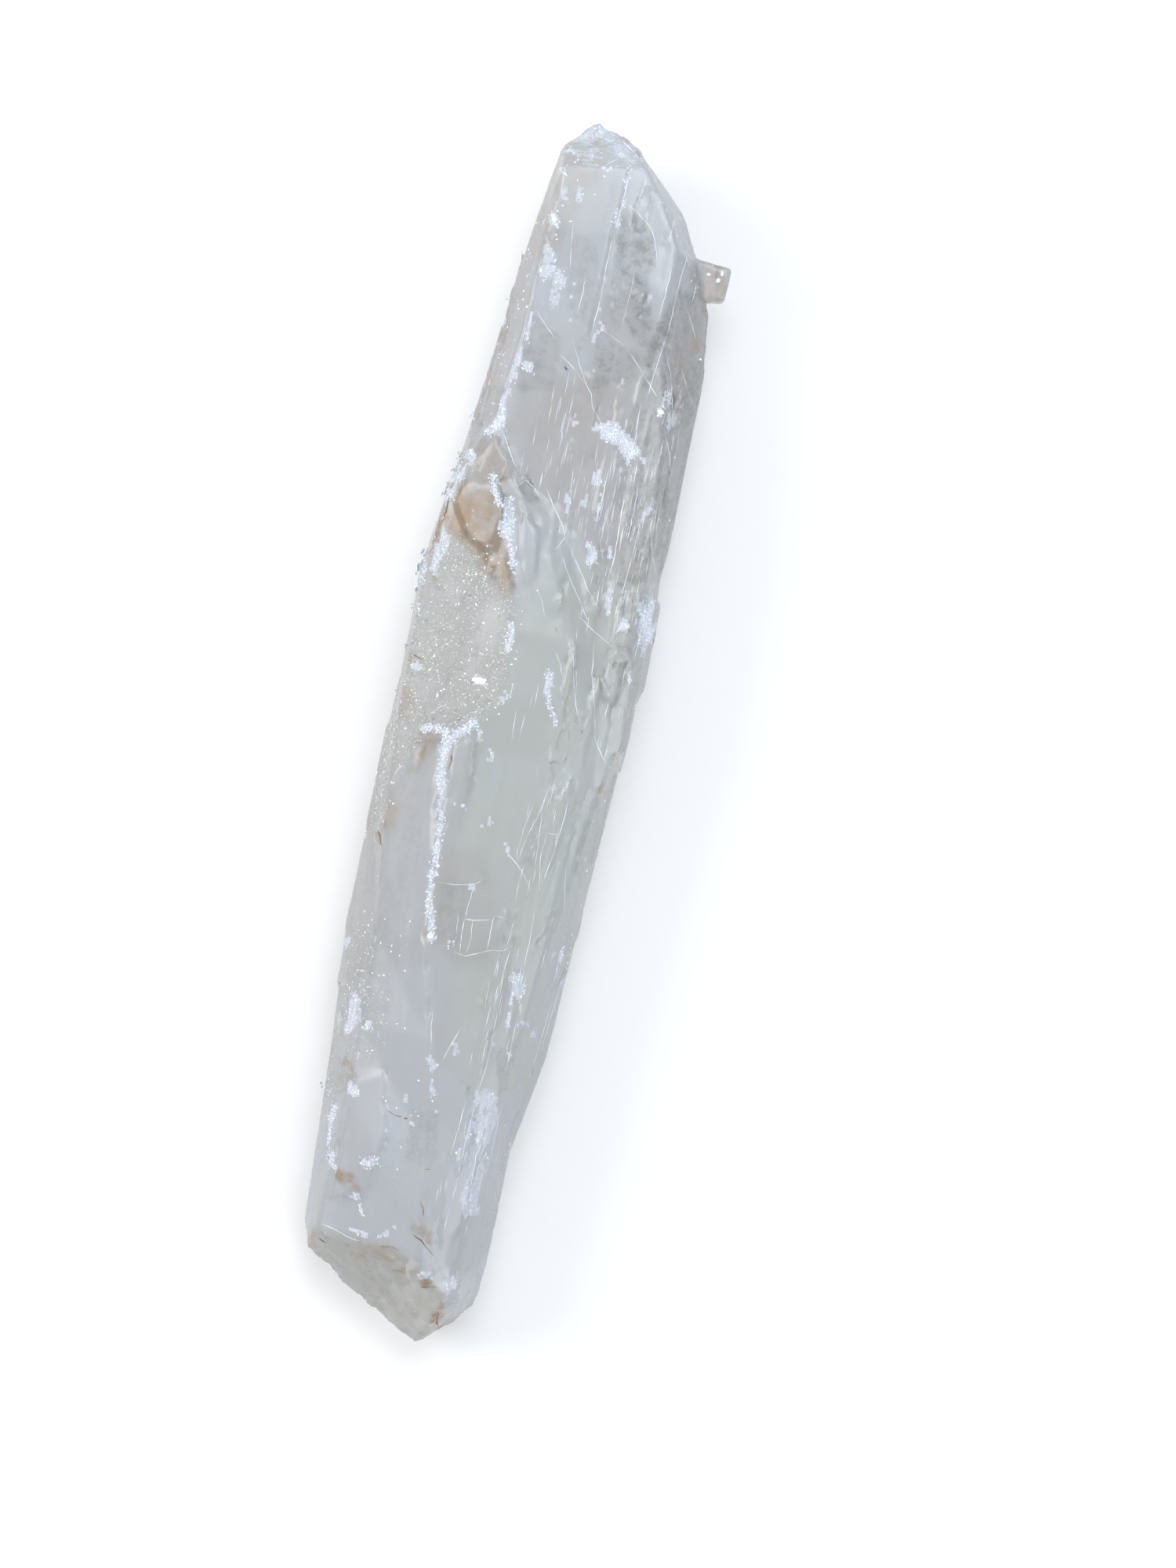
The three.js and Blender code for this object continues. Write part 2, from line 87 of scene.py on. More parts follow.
# The camera, which looks straight down. The places of marks are given as it sees them, at the
# crystal's middle height.
VIEW_CENTRE = (21.3 * MM, -8.2 * MM)
VIEW_LENGTH = 380 * MM  # what the long side of the picture takes in, at the crystal's middle height
VIEW_TURN = math.radians(11)
VIEW_HEIGHT = 1.1  # above the middle height
MIDDLE_HEIGHT = 20 * MM
SENSOR = 36.0
EYE = (*VIEW_CENTRE, VIEW_HEIGHT + MIDDLE_HEIGHT)

# How the painted marks lie on the body
FRAY_SIZE = 3 * MM  # how coarsely their rims are frayed
FRAY_SOFT = 1.1  # how far the rims of soft marks wander, in MM
FRAY_SHARP = 0.45  # and those of sharp ones
FACING = (0.05, 0.4)  # a face that leans up less than the first counts as hidden from above

# The painted marks are outlines, each (strength, corners), and ovals, each (x, y, half width,
# half length, strength).
SUGAR_OUTLINES = [
    (1.0, [[-30, 47], [-22, 45], [-12, 38], [-4.5, 33], [-2.6, 12], [-4, 6], [-10, 1], [-19, -1],
           [-30, -6]]),
    (0.7, [[-31, -4], [-21, -4], [-24, -14], [-28, -30], [-31, -34]]),
    (0.3, [[-31, -52], [-25, -52], [-21, -64], [-16, -70], [-16, -80], [-19, -90], [-24, -96],
           [-30, -96]]),
    (0.6, [[-27, 66], [-23, 66], [-24, 54], [-27, 44], [-30, 44]]),
]
# Smoother stretches in the sugar
SMOOTH_OVALS = [(-9, 25, 4, 9, 0.7), (-20, 31, 5, 3, 0.5), (-12, 15, 3, 4, 0.4), (-20, 6, 4, 3, 0.4)]
# Crushed white edges: half width, and path of [x, y]
BRUISES = [
    (1.15, [[-20.4, -2.2], [-17.4, -2], [-15, -2.6], [-13, -4], [-11.8, -1.4], [-9.8, 0.3], [-8.3, 1]]),
    (1.0, [[-14.4, -4.6], [-14.4, -10], [-13.6, -16]]),
    (0.6, [[-13.6, -16], [-12.8, -19], [-12.2, -24]]),
    (0.8, [[-12, -23], [-11.8, -28], [-11.4, -34], [-11.4, -38]]),
    (1.0, [[-11, -40], [-10.8, -44], [-9.6, -48], [-9, -52]]),
    (0.9, [[-15.2, 60.4], [-14.4, 57.6], [-13.4, 54.8]]),
    (0.4, [[3, 140.6], [2.9, 136], [2.5, 130], [2.2, 126]]),
    (1.3, [[-10.6, 55.4], [-9.8, 51.4], [-9.2, 47.6]]),
    (0.9, [[-9, 47], [-7.6, 43.6], [-6.8, 40.6]]),
    (0.5, [[-7, 41], [-5.8, 38]]),
    (0.9, [[-4.6, 26], [-4.2, 23.6], [-3.8, 20]]),
    (1.2, [[-18.4, 71.2], [-17, 72.6]]),
    (0.8, [[-16.8, 73.6], [-16.4, 77.4]]),
    (0.6, [[-21.8, 66], [-21, 64]]),
    (0.6, [[7, 16.6], [7.8, 11.4], [8.8, 8.4], [11, 5]]),
    (0.7, [[-24, -97], [-24.2, -101], [-23.8, -105.6]]),
    (0.9, [[-22.6, -108.4], [-21.6, -111.4]]),
    (1.1, [[-14.6, -109], [-12.2, -108.2]]),
    (1.0, [[-21, -91.4], [-19.6, -92.4]]),
    (1.1, [[-28.6, 36.4], [-28.4, 31.6]]),
    (0.8, [[-27.9, 27], [-27.8, 24.8]]),
    (0.9, [[-10.4, 11.2], [-8.2, 11.4]]),
    (0.6, [[-13.2, 125.4], [-12.2, 123.4]]),
    (0.5, [[-13.8, 136.4], [-13, 135.8]]),
    (0.5, [[-13, 141.2], [-11.6, 142]]),
    (0.6, [[-0.8, 143], [0.6, 142.8]]),
    (0.6, [[21.2, 84], [21.6, 83]]),
    (0.5, [[-12.9, -119.6], [-12.6, -121.4]]),
]
# Dustings of white gypsum powder
POWDER_SHARE = 1.5  # what all their strengths are multiplied by
FROST_LEVEL = 0.56  # from this much powder on, a face is all frosted
POWDER_OVALS = [
    (-12.4, 112, 2.2, 5, 0.6), (-11, 104, 3, 4, 0.4), (-8.4, 110, 2, 4, 0.5), (-5, 101, 2, 3, 0.4),
    (-9, 106, 2, 4, 0.5), (-13, 117, 2, 1.4, 0.7), (-7.8, 130.6, 1.4, 1.4, 0.6),
    (-10.6, 130, 1, 0.6, 0.6), (-11, 132, 0.8, 2, 0.5), (-15.2, 87, 1.4, 5, 0.6), (-14, 97, 0.6, 6, 0.6),
    (-16.6, 74, 1.6, 3, 0.8), (-24.6, 60, 1.4, 3.6, 0.75), (-22.4, 64, 1.2, 2.4, 0.75),
    (-25.8, 54, 1, 4, 0.7), (-9.8, 50, 2, 5, 0.6), (-24.6, 42, 2, 4, 0.6), (1, 145, 3, 1, 0.5),
    (3.2, 142, 1, 1.4, 0.5), (3, 100, 0.5, 4, 0.5), (2.6, 104, 0.8, 3, 0.45), (12.4, 75.4, 4.4, 1.8, 0.8),
    (10, 77, 3, 0.9, 0.8), (14.6, 73.4, 1.4, 2.6, 0.8), (13, -62, 1, 3, 0.9), (8.6, 76.8, 2.2, 1, 0.8),
    (16.6, 73, 3, 1.6, 0.8), (20, 71.6, 2, 1, 0.5), (15.9, 72, 0.8, 3.6, 0.8), (22.6, 86.4, 1.2, 4, 0.6),
    (24.2, 82, 0.9, 3, 0.5), (3, 77, 0.8, 1.6, 0.5), (28.2, 33, 2.4, 10, 0.9), (22, 31, 1.8, 1.8, 0.8),
    (18.4, 36, 0.8, 5, 0.7), (11.4, 46.4, 1.6, 4.6, 0.7), (15.5, 47.2, 0.7, 2, 0.8),
    (26.2, 19, 0.5, 1.8, 0.8), (9.6, 64.6, 1.2, 2.4, 0.7), (3.4, 57, 1, 4, 0.6), (8.2, 58, 0.8, 3, 0.5),
    (23, 60, 1, 4, 0.5), (11.4, 58, 0.5, 4, 0.5), (7.8, 13, 1.2, 4.4, 0.5), (-12, 115, 3, 2, 0.6),
    (-9, 111, 2.2, 3.4, 0.6), (-8, 132.6, 0.8, 2.8, 0.7), (-13.6, 124, 1.6, 1.8, 0.7),
    (-2.4, 139, 1.8, 0.9, 0.7), (-0.4, 143, 2, 1.4, 0.7), (-9, 146.6, 1.6, 1, 0.8),
    (-5, 148.4, 1.8, 0.8, 0.8), (-3, 145.4, 1.6, 0.8, 0.7), (2.4, 144.6, 1.6, 0.7, 0.7),
    (-24, -73, 2, 5, 0.7), (-3.4, -81, 0.7, 2, 0.6), (2.4, -77.6, 0.8, 1.4, 0.5),
    (-12.4, 141.4, 2, 1.2, 0.7), (-13.6, 136, 1.2, 1, 0.6), (-6, 147.4, 5, 2.4, 0.5),
    (-14.8, 89, 0.8, 4, 0.7), (-16.4, 79, 1, 4, 0.7), (-11.6, 88, 1.6, 2, 0.6), (-2.6, 8, 0.9, 1.8, 0.7),
    (-24.4, 11.6, 1.2, 1.4, 0.6), (-25.2, 39, 1.6, 6, 0.6), (-5.6, -2, 0.9, 4, 0.5),
    (-3, -6, 1, 2.6, 0.5), (-0.8, -23, 0.9, 1.5, 0.6), (4.5, -27, 0.8, 1.6, 0.8),
    (-8, -19.4, 2, 0.6, 0.5), (13.2, -58.6, 2.4, 1.4, 0.8), (14.2, -61, 1.8, 2.4, 0.8),
    (16, -62, 0.6, 3.6, 0.8), (13.4, -67, 0.6, 3.4, 0.9), (16.6, -69, 1.8, 0.7, 0.8),
    (19.6, -70.6, 1.6, 0.5, 0.7), (22.4, -50, 1.3, 3.4, 0.7), (24.4, -57, 0.8, 3, 0.5),
    (-28.6, -57, 0.9, 2, 0.7), (-24, -76.6, 1.8, 3, 0.7), (-20.2, -76, 1.2, 1.2, 0.6),
    (-24.4, -70, 1.4, 2, 0.5), (-20.4, -92, 2.2, 1.9, 0.8), (-20, -84.4, 1, 1, 0.7),
    (-25.6, -94, 0.8, 2, 0.5), (-14.2, -117.8, 1.2, 0.6, 0.8), (-12.4, -125.4, 3.6, 1, 0.6),
    (-6.4, -125.6, 1, 0.8, 0.7), (-4, -122.2, 1, 0.6, 0.6), (12, -134.4, 1, 3.8, 0.7),
    (6, -133.4, 2, 1, 0.5), (-1.7, -84, 0.7, 3.6, 0.8), (-1.3, -88.4, 0.5, 1.6, 0.6),
    (3, -79, 1, 2.4, 0.4), (1, -94, 1.2, 0.8, 0.4), (10.4, -75.4, 0.7, 0.7, 0.6),
    (13.6, -75, 0.7, 0.9, 0.6), (15.8, -75.6, 0.5, 1, 0.7), (-4.6, -52, 1.2, 1.3, 0.5),
    (-1.6, -38.4, 1.6, 1.2, 0.5), (14.6, -37, 1, 1, 0.4), (11.8, -98, 0.6, 9, 0.5),
    (8, -102, 0.6, 6, 0.5), (13.6, -115, 2.4, 1, 0.6), (13.4, -88, 1.6, 2, 0.5),
]
# Painted reflection of the blue sky, laid on the faces that lean up as a milky blue
SKY_REFLECTION_OVALS = [
    (-9, 106, 7, 13, 0.9), (2, 120, 6, 26, 0.5), (16, 116, 6, 18, 0.6), (-1, 92, 4, 7, 0.7),
    (-16, 84, 2.6, 16, 0.6), (20, 96, 4, 14, 0.4), (-3, 47, 6, 8, 0.8), (6, 46, 4, 8, 0.6),
    (0, 36, 5, 8, 0.4), (-16, -32, 5, 30, 0.35), (-9, -70, 6, 16, 0.7), (-9, -101, 6, 16, 1.0),
    (-6, -116, 7, 7, 0.6), (8, 14, 1.6, 6, 0.4), (-1.4, -12, 1.2, 8, 0.5), (29, 34, 3, 14, 0.5),
    (-13, -118, 6, 8, 0.4), (10, 130, 6, 8, 0.4), (12, 54, 4, 9, 0.3),
]
SKY_REFLECTION_OUTLINES = [
    (0.55, [[-26, -66], [-9, -58], [-2, -80], [8, -88], [22, -84], [22, -142], [10, -136], [-4, -126],
            [-26, -126]]),
    (0.7, [[-3, 148], [-4, 136], [-8, 126], [-10, 116], [22, 110], [24, 122], [18, 134], [6, 146]]),
    (0.32, [[16, -2], [29, 0], [24, -88], [18, -86], [18, -40]]),
    (1.0, [[8.4, -86], [12, -85], [15.4, -87], [15.6, -96], [14.8, -112], [15.6, -116], [11, -117],
           [9, -108], [8, -96]]),
    (0.6, [[-9, 127], [-3.4, 137], [2.4, 140], [2.8, 132], [1.8, 116], [1.4, 98], [-3, 92], [-7, 98],
           [-8, 122]]),
]
# Clear windows, darker than the rest, and painted shade on strips of the right bevel that the lamps light
# brightly
CLEAR_AND_SHADE_OUTLINES = [
    (0.5, [[23.4, 122], [34, 122], [34, 110], [26, 110]]),
    (0.6, [[4, 96], [7.6, 98], [8.2, 88], [6, 84], [3.6, 86]]),
    (0.7, [[-9.4, 59], [-7, 61], [-3, 57], [-5.2, 55.4]]),
    (0.5, [[21, 36], [26, 40], [26, 26], [22, 24]]),
    (0.5, [[13, 50], [16.6, 48], [16.4, 30], [12.6, 40]]),
    (0.8, [[2.6, 131], [7.4, 129], [12, 125], [13.8, 118], [10, 113], [5, 115], [2.4, 121]]),
    (1.2, [[3.4, 127], [7, 126], [5, 118], [3.4, 120]]),
    (1.3, [[7, 124], [11, 125], [12.6, 119], [9, 117]]),
    (1.1, [[8.6, 116], [11.6, 114], [11, 109], [9.4, 108]]),
    (0.7, [[-26, 62], [-19, 66], [-17.6, 70], [-17, 82], [-24, 82]]),
    (0.75, [[14, 84], [20, 84], [30, 84], [30, 52], [14, 60]]),
    (1.3, [[20, 114], [15, 99], [17, 84], [18, 60], [22, 42], [32, 42], [32, 112]]),
    # Painted shade on a strip of the right bevel that faces the lamps
    (0.9, [[18.5, 47], [25.5, 45], [25.5, 11], [20, 11]]),
    (0.5, [[-14, 101], [-6, 97], [-5, 84], [-14, 82]]),
    (0.25, [[-26, 4], [-16, 4], [-16, -76], [-26, -76]]),
    (0.4, [[18.4, 122], [23.4, 121], [26, 112], [20, 106]]),
    (0.7, [[6, 113], [12, 116], [16, 104], [14, 98], [8, 104]]),
    (1.5, [[-23, 54], [-19, 57], [-12.6, 57], [-10.6, 48], [-8.6, 42], [-5, 35], [-8, 34], [-16, 39],
           [-23.4, 45]]),
    (0.3, [[-29, 44], [-16, 40], [-14, 20], [-18, 2], [-30, 2]]),
    (0.35, [[3, 112], [8, 102], [8, 90], [3, 92]]),
    (1.0, [[-14.8, 91], [-13, 94], [-9.4, 94.6], [-8, 90], [-9, 86.6], [-12, 88]]),
    (1.3, [[-9.5, 59.6], [-7, 61.6], [-3, 57], [-5.2, 55.4]]),
    (0.8, [[-15.6, 72], [-14.2, 71], [-9.4, 63.6], [-11.4, 63]]),
    (0.45, [[8.4, 97.4], [14.6, 97], [14.8, 92], [12.6, 87], [8.2, 89]]),
    (0.4, [[3, 131], [3.2, 106], [8, 104], [9, 118], [7, 128]]),
    (0.4, [[12.6, 46], [16.8, 40], [16.4, 31], [13.2, 38]]),
    (0.35, [[9.4, -14], [12.4, -20], [12.6, -31], [9, -30]]),
    (0.4, [[-8, 123], [-1, 120], [0.8, 100], [-6, 104]]),
    (0.35, [[21.6, -12], [26, -10], [26, -34], [22, -30]]),
    (0.3, [[-9, -37.6], [-2, -37], [-2, -52], [-8, -53]]),
    (0.35, [[-5.4, -94], [1.2, -93], [2.4, -107], [-5, -106]]),
]
# Beige strips, where less of the sky's blue is mirrored
BEIGE_OUTLINES = [
    (1.0, [[22.5, 122], [34, 122], [34, 110], [24, 110]]),
    (0.7, [[20, 112], [14, 98], [18, 80], [16, 60], [22, 40], [34, 40], [34, 112]]),
    (0.5, [[-14, 139], [-3, 139], [-6, 130], [-9, 118], [-14, 118]]),
    (0.9, [[-12, 146], [-14, 121], [-15.2, 94], [-17.8, 72], [-22, 63], [-26, 50], [-32, 36],
           [-32, 146]]),
    (0.8, [[24, 120], [20.4, 104], [21, 96], [25, 88], [28.4, 80], [34, 80], [34, 124]]),
    (0.7, [[-20.8, 64.6], [-16.8, 69.8], [-12.4, 64.6], [-11.4, 61], [-15, 60.6], [-20.8, 58.6]]),
    (0.55, [[-4, 90], [12, 88], [26, 78], [30, 60], [29, 42], [12, 48], [0, 56], [-8, 64], [-14, 72],
            [-12, 84]]),
    (0.5, [[-24.6, -30], [-22, -54], [-23, -66], [-32, -66], [-32, -20]]),
    (0.5, [[-27, 8], [-14, 2], [-16, -20], [-23, -34], [-30, -30]]),
    (0.5, [[-1, -29], [-10, -30], [-9, -52], [-2, -58], [6, -56], [10, -48]]),
    (0.4, [[-24, -98], [-14, -96], [-10, -104], [-12, -118], [-24, -124]]),
    (0.8, [[-24, 56], [-18, 58], [-12, 57], [-9, 44], [-6, 34], [-15, 38], [-24, 45]]),
]
OLIVE_OUTLINES = [
    (1.0, [[-26, -127], [-15, -128.8], [-4, -127.6], [9, -134.6], [11.4, -139], [10, -150], [-8, -148],
           [-26, -134]]),
]
# Iron stain
STAIN_OUTLINES = [
    (1.3, [[-23.6, 54], [-20.6, 55], [-17.2, 51], [-14, 45], [-13.8, 40.6], [-15.4, 39.8],
           [-18.4, 43.4], [-23.4, 46]]),
    (0.9, [[-23.6, 53], [-19, 56], [-13, 57], [-11, 48], [-8.6, 42], [-5, 35], [-6.4, 32], [-10, 36],
           [-15, 39], [-22, 45]]),
    (0.35, [[-21.4, 66], [-17, 70], [-11, 62], [-13, 56], [-20, 57]]),
]
STAIN_OVALS = [
    (28, 116, 3, 7, 0.45), (24.6, 98, 3.4, 12, 0.35), (-24.6, 12.6, 2, 1.2, 0.5), (-26, 3, 2, 5, 0.4),
    (-19, -5, 3, 4, 0.35), (-24.6, -24, 2.4, 7, 0.3), (-8, -128.6, 5, 1.4, 0.5),
    (3.4, -124, 2.6, 1.2, 0.8), (-24, -91, 2.4, 3, 0.35), (-19.4, 50, 3, 4.4, 1.2),
    (-15.4, 42.4, 2.4, 3, 1.3), (-22.6, 55.4, 1, 2.6, 1.4), (-24.6, 50, 0.9, 4, 1.4),
    (-27.2, 44, 0.7, 6, 1.5), (-18.6, 44.6, 3, 0.8, 1.3), (-12.4, 34, 1, 1.4, 0.5),
    (-21, 57.6, 0.9, 1.6, 1.3), (-26.2, 46, 0.8, 5, 1.1), (-25.4, 34.6, 0.7, 2.4, 0.8),
    (-5.8, 33.4, 1, 0.9, 1.2), (-14.6, 41, 1.2, 1.2, 1.0), (-27, 13.6, 2.2, 0.5, 1.0),
    (-19.4, -8, 1.2, 2.4, 0.9), (-20.6, -11.6, 1.2, 2.6, 0.5), (-25.8, -27.4, 1, 1.6, 0.8),
    (-25.8, -30.6, 0.7, 2.4, 1.3), (-23.4, -85.6, 1.8, 2.2, 0.9), (-22, -89, 2, 1.6, 0.5),
    (-18.6, -113, 3, 1.7, 1.1), (-15, -115.6, 2.2, 1.4, 0.6), (1.6, -122.4, 2.4, 1.4, 0.6),
    (-11.4, -130.8, 2.2, 0.9, 0.7), (-4.6, -129.8, 4, 1, 0.6), (-0.7, -133.4, 1.7, 0.9, 1.1),
    (6.4, -135.3, 2.2, 0.8, 1.1), (2.6, -130, 1.4, 1.1, 0.6), (10.5, -143, 1.1, 3.2, 1.3),
    (11, -140, 1, 1.2, 0.8), (25.4, -8.6, 0.9, 1.6, 0.7), (-21, 90, 0.7, 14, 0.5),
    (-23.4, 72, 0.5, 6, 0.6), (25, 100, 3, 10, 0.35), (-28.6, 3, 0.5, 2, 0.7), (-27, 52, 0.5, 6, 0.5),
]
# The greenish middle of the crystal
GREEN_OUTLINES = [
    (1.0, [[-4, 58], [14, 46], [26, 30], [29, 0], [26, -60], [18, -88], [4, -84], [-4, -60], [-8, -50],
           [-8, 0], [-3, 30]]),
]
# Frosted stretches
FROST_OUTLINES = [
    (0.6, [[8.8, -86], [12, -85.6], [15.4, -87], [15.6, -96], [14.8, -112], [15.6, -116], [11, -117],
           [9.6, -108], [8.6, -96]]),
    (0.45, [[-14, 117], [-8, 117], [-4, 110], [-3, 99], [-8, 97], [-14, 101]]),
    (0.28, [[-14, 141], [-6, 136], [-9, 120], [-14, 119]]),
    (0.62, [[-10, 149], [-2, 150], [6, 144], [4, 140.6], [-1, 141.4], [-5, 144], [-9, 144.6],
            [-13, 143]]),
    (0.5, [[-14, 143], [-6, 146], [4, 142], [3, 139], [-14, 138.4]]),
    (0.4, [[-14, -84], [-4, -84], [-3, -106], [-12, -106]]),
    (0.45, [[4, 145], [10, 137.6], [18, 131], [22, 122], [18.6, 122], [15, 129], [8, 135.6], [4, 141]]),
    (0.5, [[-26, 66], [-21, 66], [-23.6, 54], [-26.4, 44], [-29, 44]]),
    (0.35, [[-10, -107], [-1, -107], [-2, -118], [-9, -118]]),
    (0.3, [[-26, -68], [-19, -70], [-18, -82], [-27, -82]]),
    (0.3, [[8, 60], [26, 66], [29, 50], [22, 44], [8, 50]]),
    (0.25, [[9, -40], [22, -40], [20, -84], [9, -84]]),
    (0.3, [[24, 42], [31, 42], [30, 16], [25, 20]]),
]
# Thin bright splits, each (width, path)
SPLITS = [
    (0.4, [[-8.6, 147.2], [-6.6, 148.4], [-4.6, 148.8]]),
    (0.4, [[-6.6, 149], [-5.4, 146.6]]),
    (0.35, [[-4.4, 145.8], [-2.4, 147.6], [-1, 146.6]]),
    (0.35, [[-3, 148.6], [-2.4, 145.8]]),
    (0.3, [[-9.6, 145.6], [-8, 147.2], [-7.4, 145.4]]),
    (0.35, [[-1.2, 146.8], [1.4, 145.4], [3.2, 144]]),
    (0.3, [[3.2, 142.6], [4.6, 143.6], [5.6, 142.2]]),
    (0.3, [[-3.6, 139], [-2.6, 140.4], [-0.8, 141.6], [0.6, 143.4]]),
    (0.38, [[2.9, 141], [2.9, 136], [2.5, 130], [2, 124]]),
    (0.3, [[2, 124], [1.7, 116], [1.9, 108], [1.2, 98]]),
    (0.26, [[7.2, 138.6], [6.7, 134.5], [5.9, 130.6]]),
    (0.3, [[15.9, 131], [15.6, 127], [15, 123.8]]),
    (0.26, [[20.6, 122.6], [19.9, 116], [19.6, 108], [19.2, 100]]),
    (0.22, [[19.2, 102], [18.2, 93], [17.4, 85.6]]),
    (0.22, [[17.4, 121], [17.2, 113], [16.6, 105]]),
    (0.19, [[8.9, 116], [8.6, 110], [8.1, 102.6]]),
    (0.19, [[-8, 124], [-7.6, 119], [-6.6, 113]]),
    (0.22, [[-2.8, 112.6], [-2.6, 108], [-3, 103]]),
    (0.19, [[23.9, 116], [23.8, 111]]),
    (0.19, [[22.4, 110], [25, 105.4], [26.6, 102]]),
    (0.22, [[2.8, 132], [7, 129.8], [11, 126.6], [13, 121.6], [13.9, 117.6]]),
    (0.22, [[-13, 102], [-10, 99], [-7, 96.2]]),
    (0.22, [[-3, 97], [0, 91], [2.6, 86.4], [4, 84.8], [5, 81.6], [7.4, 78.6], [9, 76.6]]),
    (0.19, [[-5.6, 93], [-1, 89.8], [2.4, 86.6]]),
    (0.19, [[3, 101], [6.6, 99.2], [9.6, 97.8]]),
    (0.22, [[11, 96.6], [15, 92.4], [19, 88], [20.6, 86.4]]),
    (0.22, [[20, 98], [22, 93], [23.4, 87.6], [25, 81]]),
    (0.19, [[24.2, 95], [26.8, 90], [28.8, 86.6]]),
    (0.26, [[-14.6, 99], [-14.8, 93], [-15.2, 86.6]]),
    (0.26, [[-15.4, 86], [-16.2, 81], [-16.6, 76]]),
    (0.22, [[24, 77.6], [25.8, 73], [26.4, 70]]),
    (0.19, [[-1, 80], [-1.2, 74.6], [-0.4, 71.8]]),
    (0.22, [[3.2, 66], [3.6, 60.4]]),
    (0.22, [[9.2, 66.4], [8.8, 56]]),
    (0.3, [[11.7, 68], [11.5, 61], [11.1, 52.6]]),
    (0.22, [[16.3, 84], [16.6, 77], [16, 70]]),
    (0.34, [[16.6, 63], [16.9, 53], [17.1, 46.6], [16.4, 41.4]]),
    (0.26, [[19.4, 68], [19.6, 60], [19.3, 50]]),
    (0.22, [[21.8, 60], [21.4, 50], [20.8, 41], [20.2, 35.6]]),
    (0.22, [[24, 58], [25.4, 51], [27.4, 45.4]]),
    (0.26, [[-15.6, 72.4], [-13.4, 68.6], [-11.4, 65], [-9.4, 63]]),
    (0.22, [[-11.4, 62.6], [-9.4, 59.4], [-7.4, 61.2], [-5, 59.6], [-2.8, 57]]),
    (0.26, [[-2.4, 60.4], [0.4, 56], [3.4, 52], [4.4, 49.4]]),
    (0.22, [[4.4, 49.4], [3.2, 46.8], [2.4, 46.2]]),
    (0.22, [[3.6, 46.6], [7.4, 40], [11.6, 34], [14.6, 29]]),
    (0.22, [[4.8, 49], [8.6, 43.6], [12.6, 37.6], [15.6, 34]]),
    (0.22, [[11.2, 31.4], [15, 28.8], [18.4, 26.8], [21.6, 25.4]]),
    (0.26, [[16.2, 26], [17.2, 18], [19.4, 10], [20.8, 3], [23.4, -1], [26, -3.6]]),
    (0.19, [[0.2, 36], [2, 33], [3.2, 29.8]]),
    (0.19, [[9.2, 26.6], [12.2, 20.6], [13.4, 14.6], [15, 9.4], [17, 5]]),
    (0.19, [[12.6, 21], [14, 15], [14.4, 12]]),
    (0.22, [[7.4, 22], [9, 19.4], [10.2, 16]]),
    (0.22, [[12.2, -10.4], [11.6, -15], [10.6, -19], [9, -24.4], [8.2, -30]]),
    (0.19, [[9.4, -15], [8.2, -21], [7.6, -27.6], [8, -30]]),
    (0.19, [[11.8, -17], [12.2, -25], [12.6, -32]]),
    (0.26, [[17.4, -12], [17.2, -18], [16.4, -26], [15.4, -31.6], [14.8, -36]]),
    (0.22, [[13.8, -22], [13.4, -28], [14.2, -33], [14.8, -36]]),
    (0.15, [[13.6, -21.8], [16.2, -21.6], [16.4, -25]]),
    (0.22, [[4.2, -26], [5.6, -28.6], [8, -30.4], [10.4, -33], [12.6, -36]]),
    (0.19, [[14.4, -40], [14.7, -48], [14.4, -56]]),
    (0.19, [[10.8, -50], [10, -55], [9.6, -61], [9.4, -66]]),
    (0.19, [[-10, -38.4], [-6, -38.4], [-2, -37.6], [0, -36.6], [0.6, -35]]),
    (0.19, [[-1.2, -38], [-1.4, -41.6], [-1.8, -46]]),
    (0.3, [[-1.9, -46], [-1.8, -50], [-1.4, -54.4]]),
    (0.26, [[-2, -46], [1, -45.8], [4.6, -45]]),
    (0.22, [[5, -43.6], [5, -48], [4.9, -52.6]]),
    (0.26, [[-3, -54.4], [0, -54.8], [3, -53.6], [6, -52.2], [9, -51.8], [10.6, -50]]),
    (0.19, [[0, -45.8], [0.6, -50], [0.2, -54]]),
    (0.19, [[10, -44], [9.9, -47], [9.4, -51]]),
    (0.15, [[-3.6, -44.6], [-3.2, -49], [-3, -53]]),
    (0.15, [[5.4, -43.8], [7.6, -44], [9.6, -44.6]]),
    (0.19, [[-5.2, -68.6], [-4.8, -73], [-3.8, -78.6]]),
    (0.19, [[2.2, -72.6], [0.8, -76.6], [-0.6, -81]]),
    (0.22, [[22.8, -62], [21.8, -72], [20.8, -82]]),
    (0.22, [[24.2, -54], [23.4, -64], [22.4, -74]]),
    (0.19, [[19.8, -28], [20.6, -34], [21.6, -40]]),
    (0.19, [[10.2, -66], [10.4, -74], [10.2, -80], [9, -89]]),
    (0.19, [[6.8, -90], [6.4, -97], [5.8, -103]]),
    (0.22, [[9.4, -88], [8.8, -97], [8.6, -106], [8.4, -114]]),
    (0.22, [[12.4, -93], [11.8, -102], [12.2, -112]]),
    (0.19, [[15.6, -88], [15.4, -98], [15, -108]]),
    (0.19, [[17, -95], [16.8, -103]]),
    (0.19, [[-19.8, 1], [-17, 3.6], [-14.4, 3.8]]),
    (0.22, [[-25.4, -15.6], [-24.4, -13], [-23.4, -12.2]]),
    (0.22, [[14.2, -131.4], [14.6, -136], [14.2, -141]]),
    (0.19, [[16.6, -132], [16.8, -137]]),
    (0.22, [[-22, -125], [-18, -126], [-14.6, -127.2], [-10.6, -127.6]]),
]
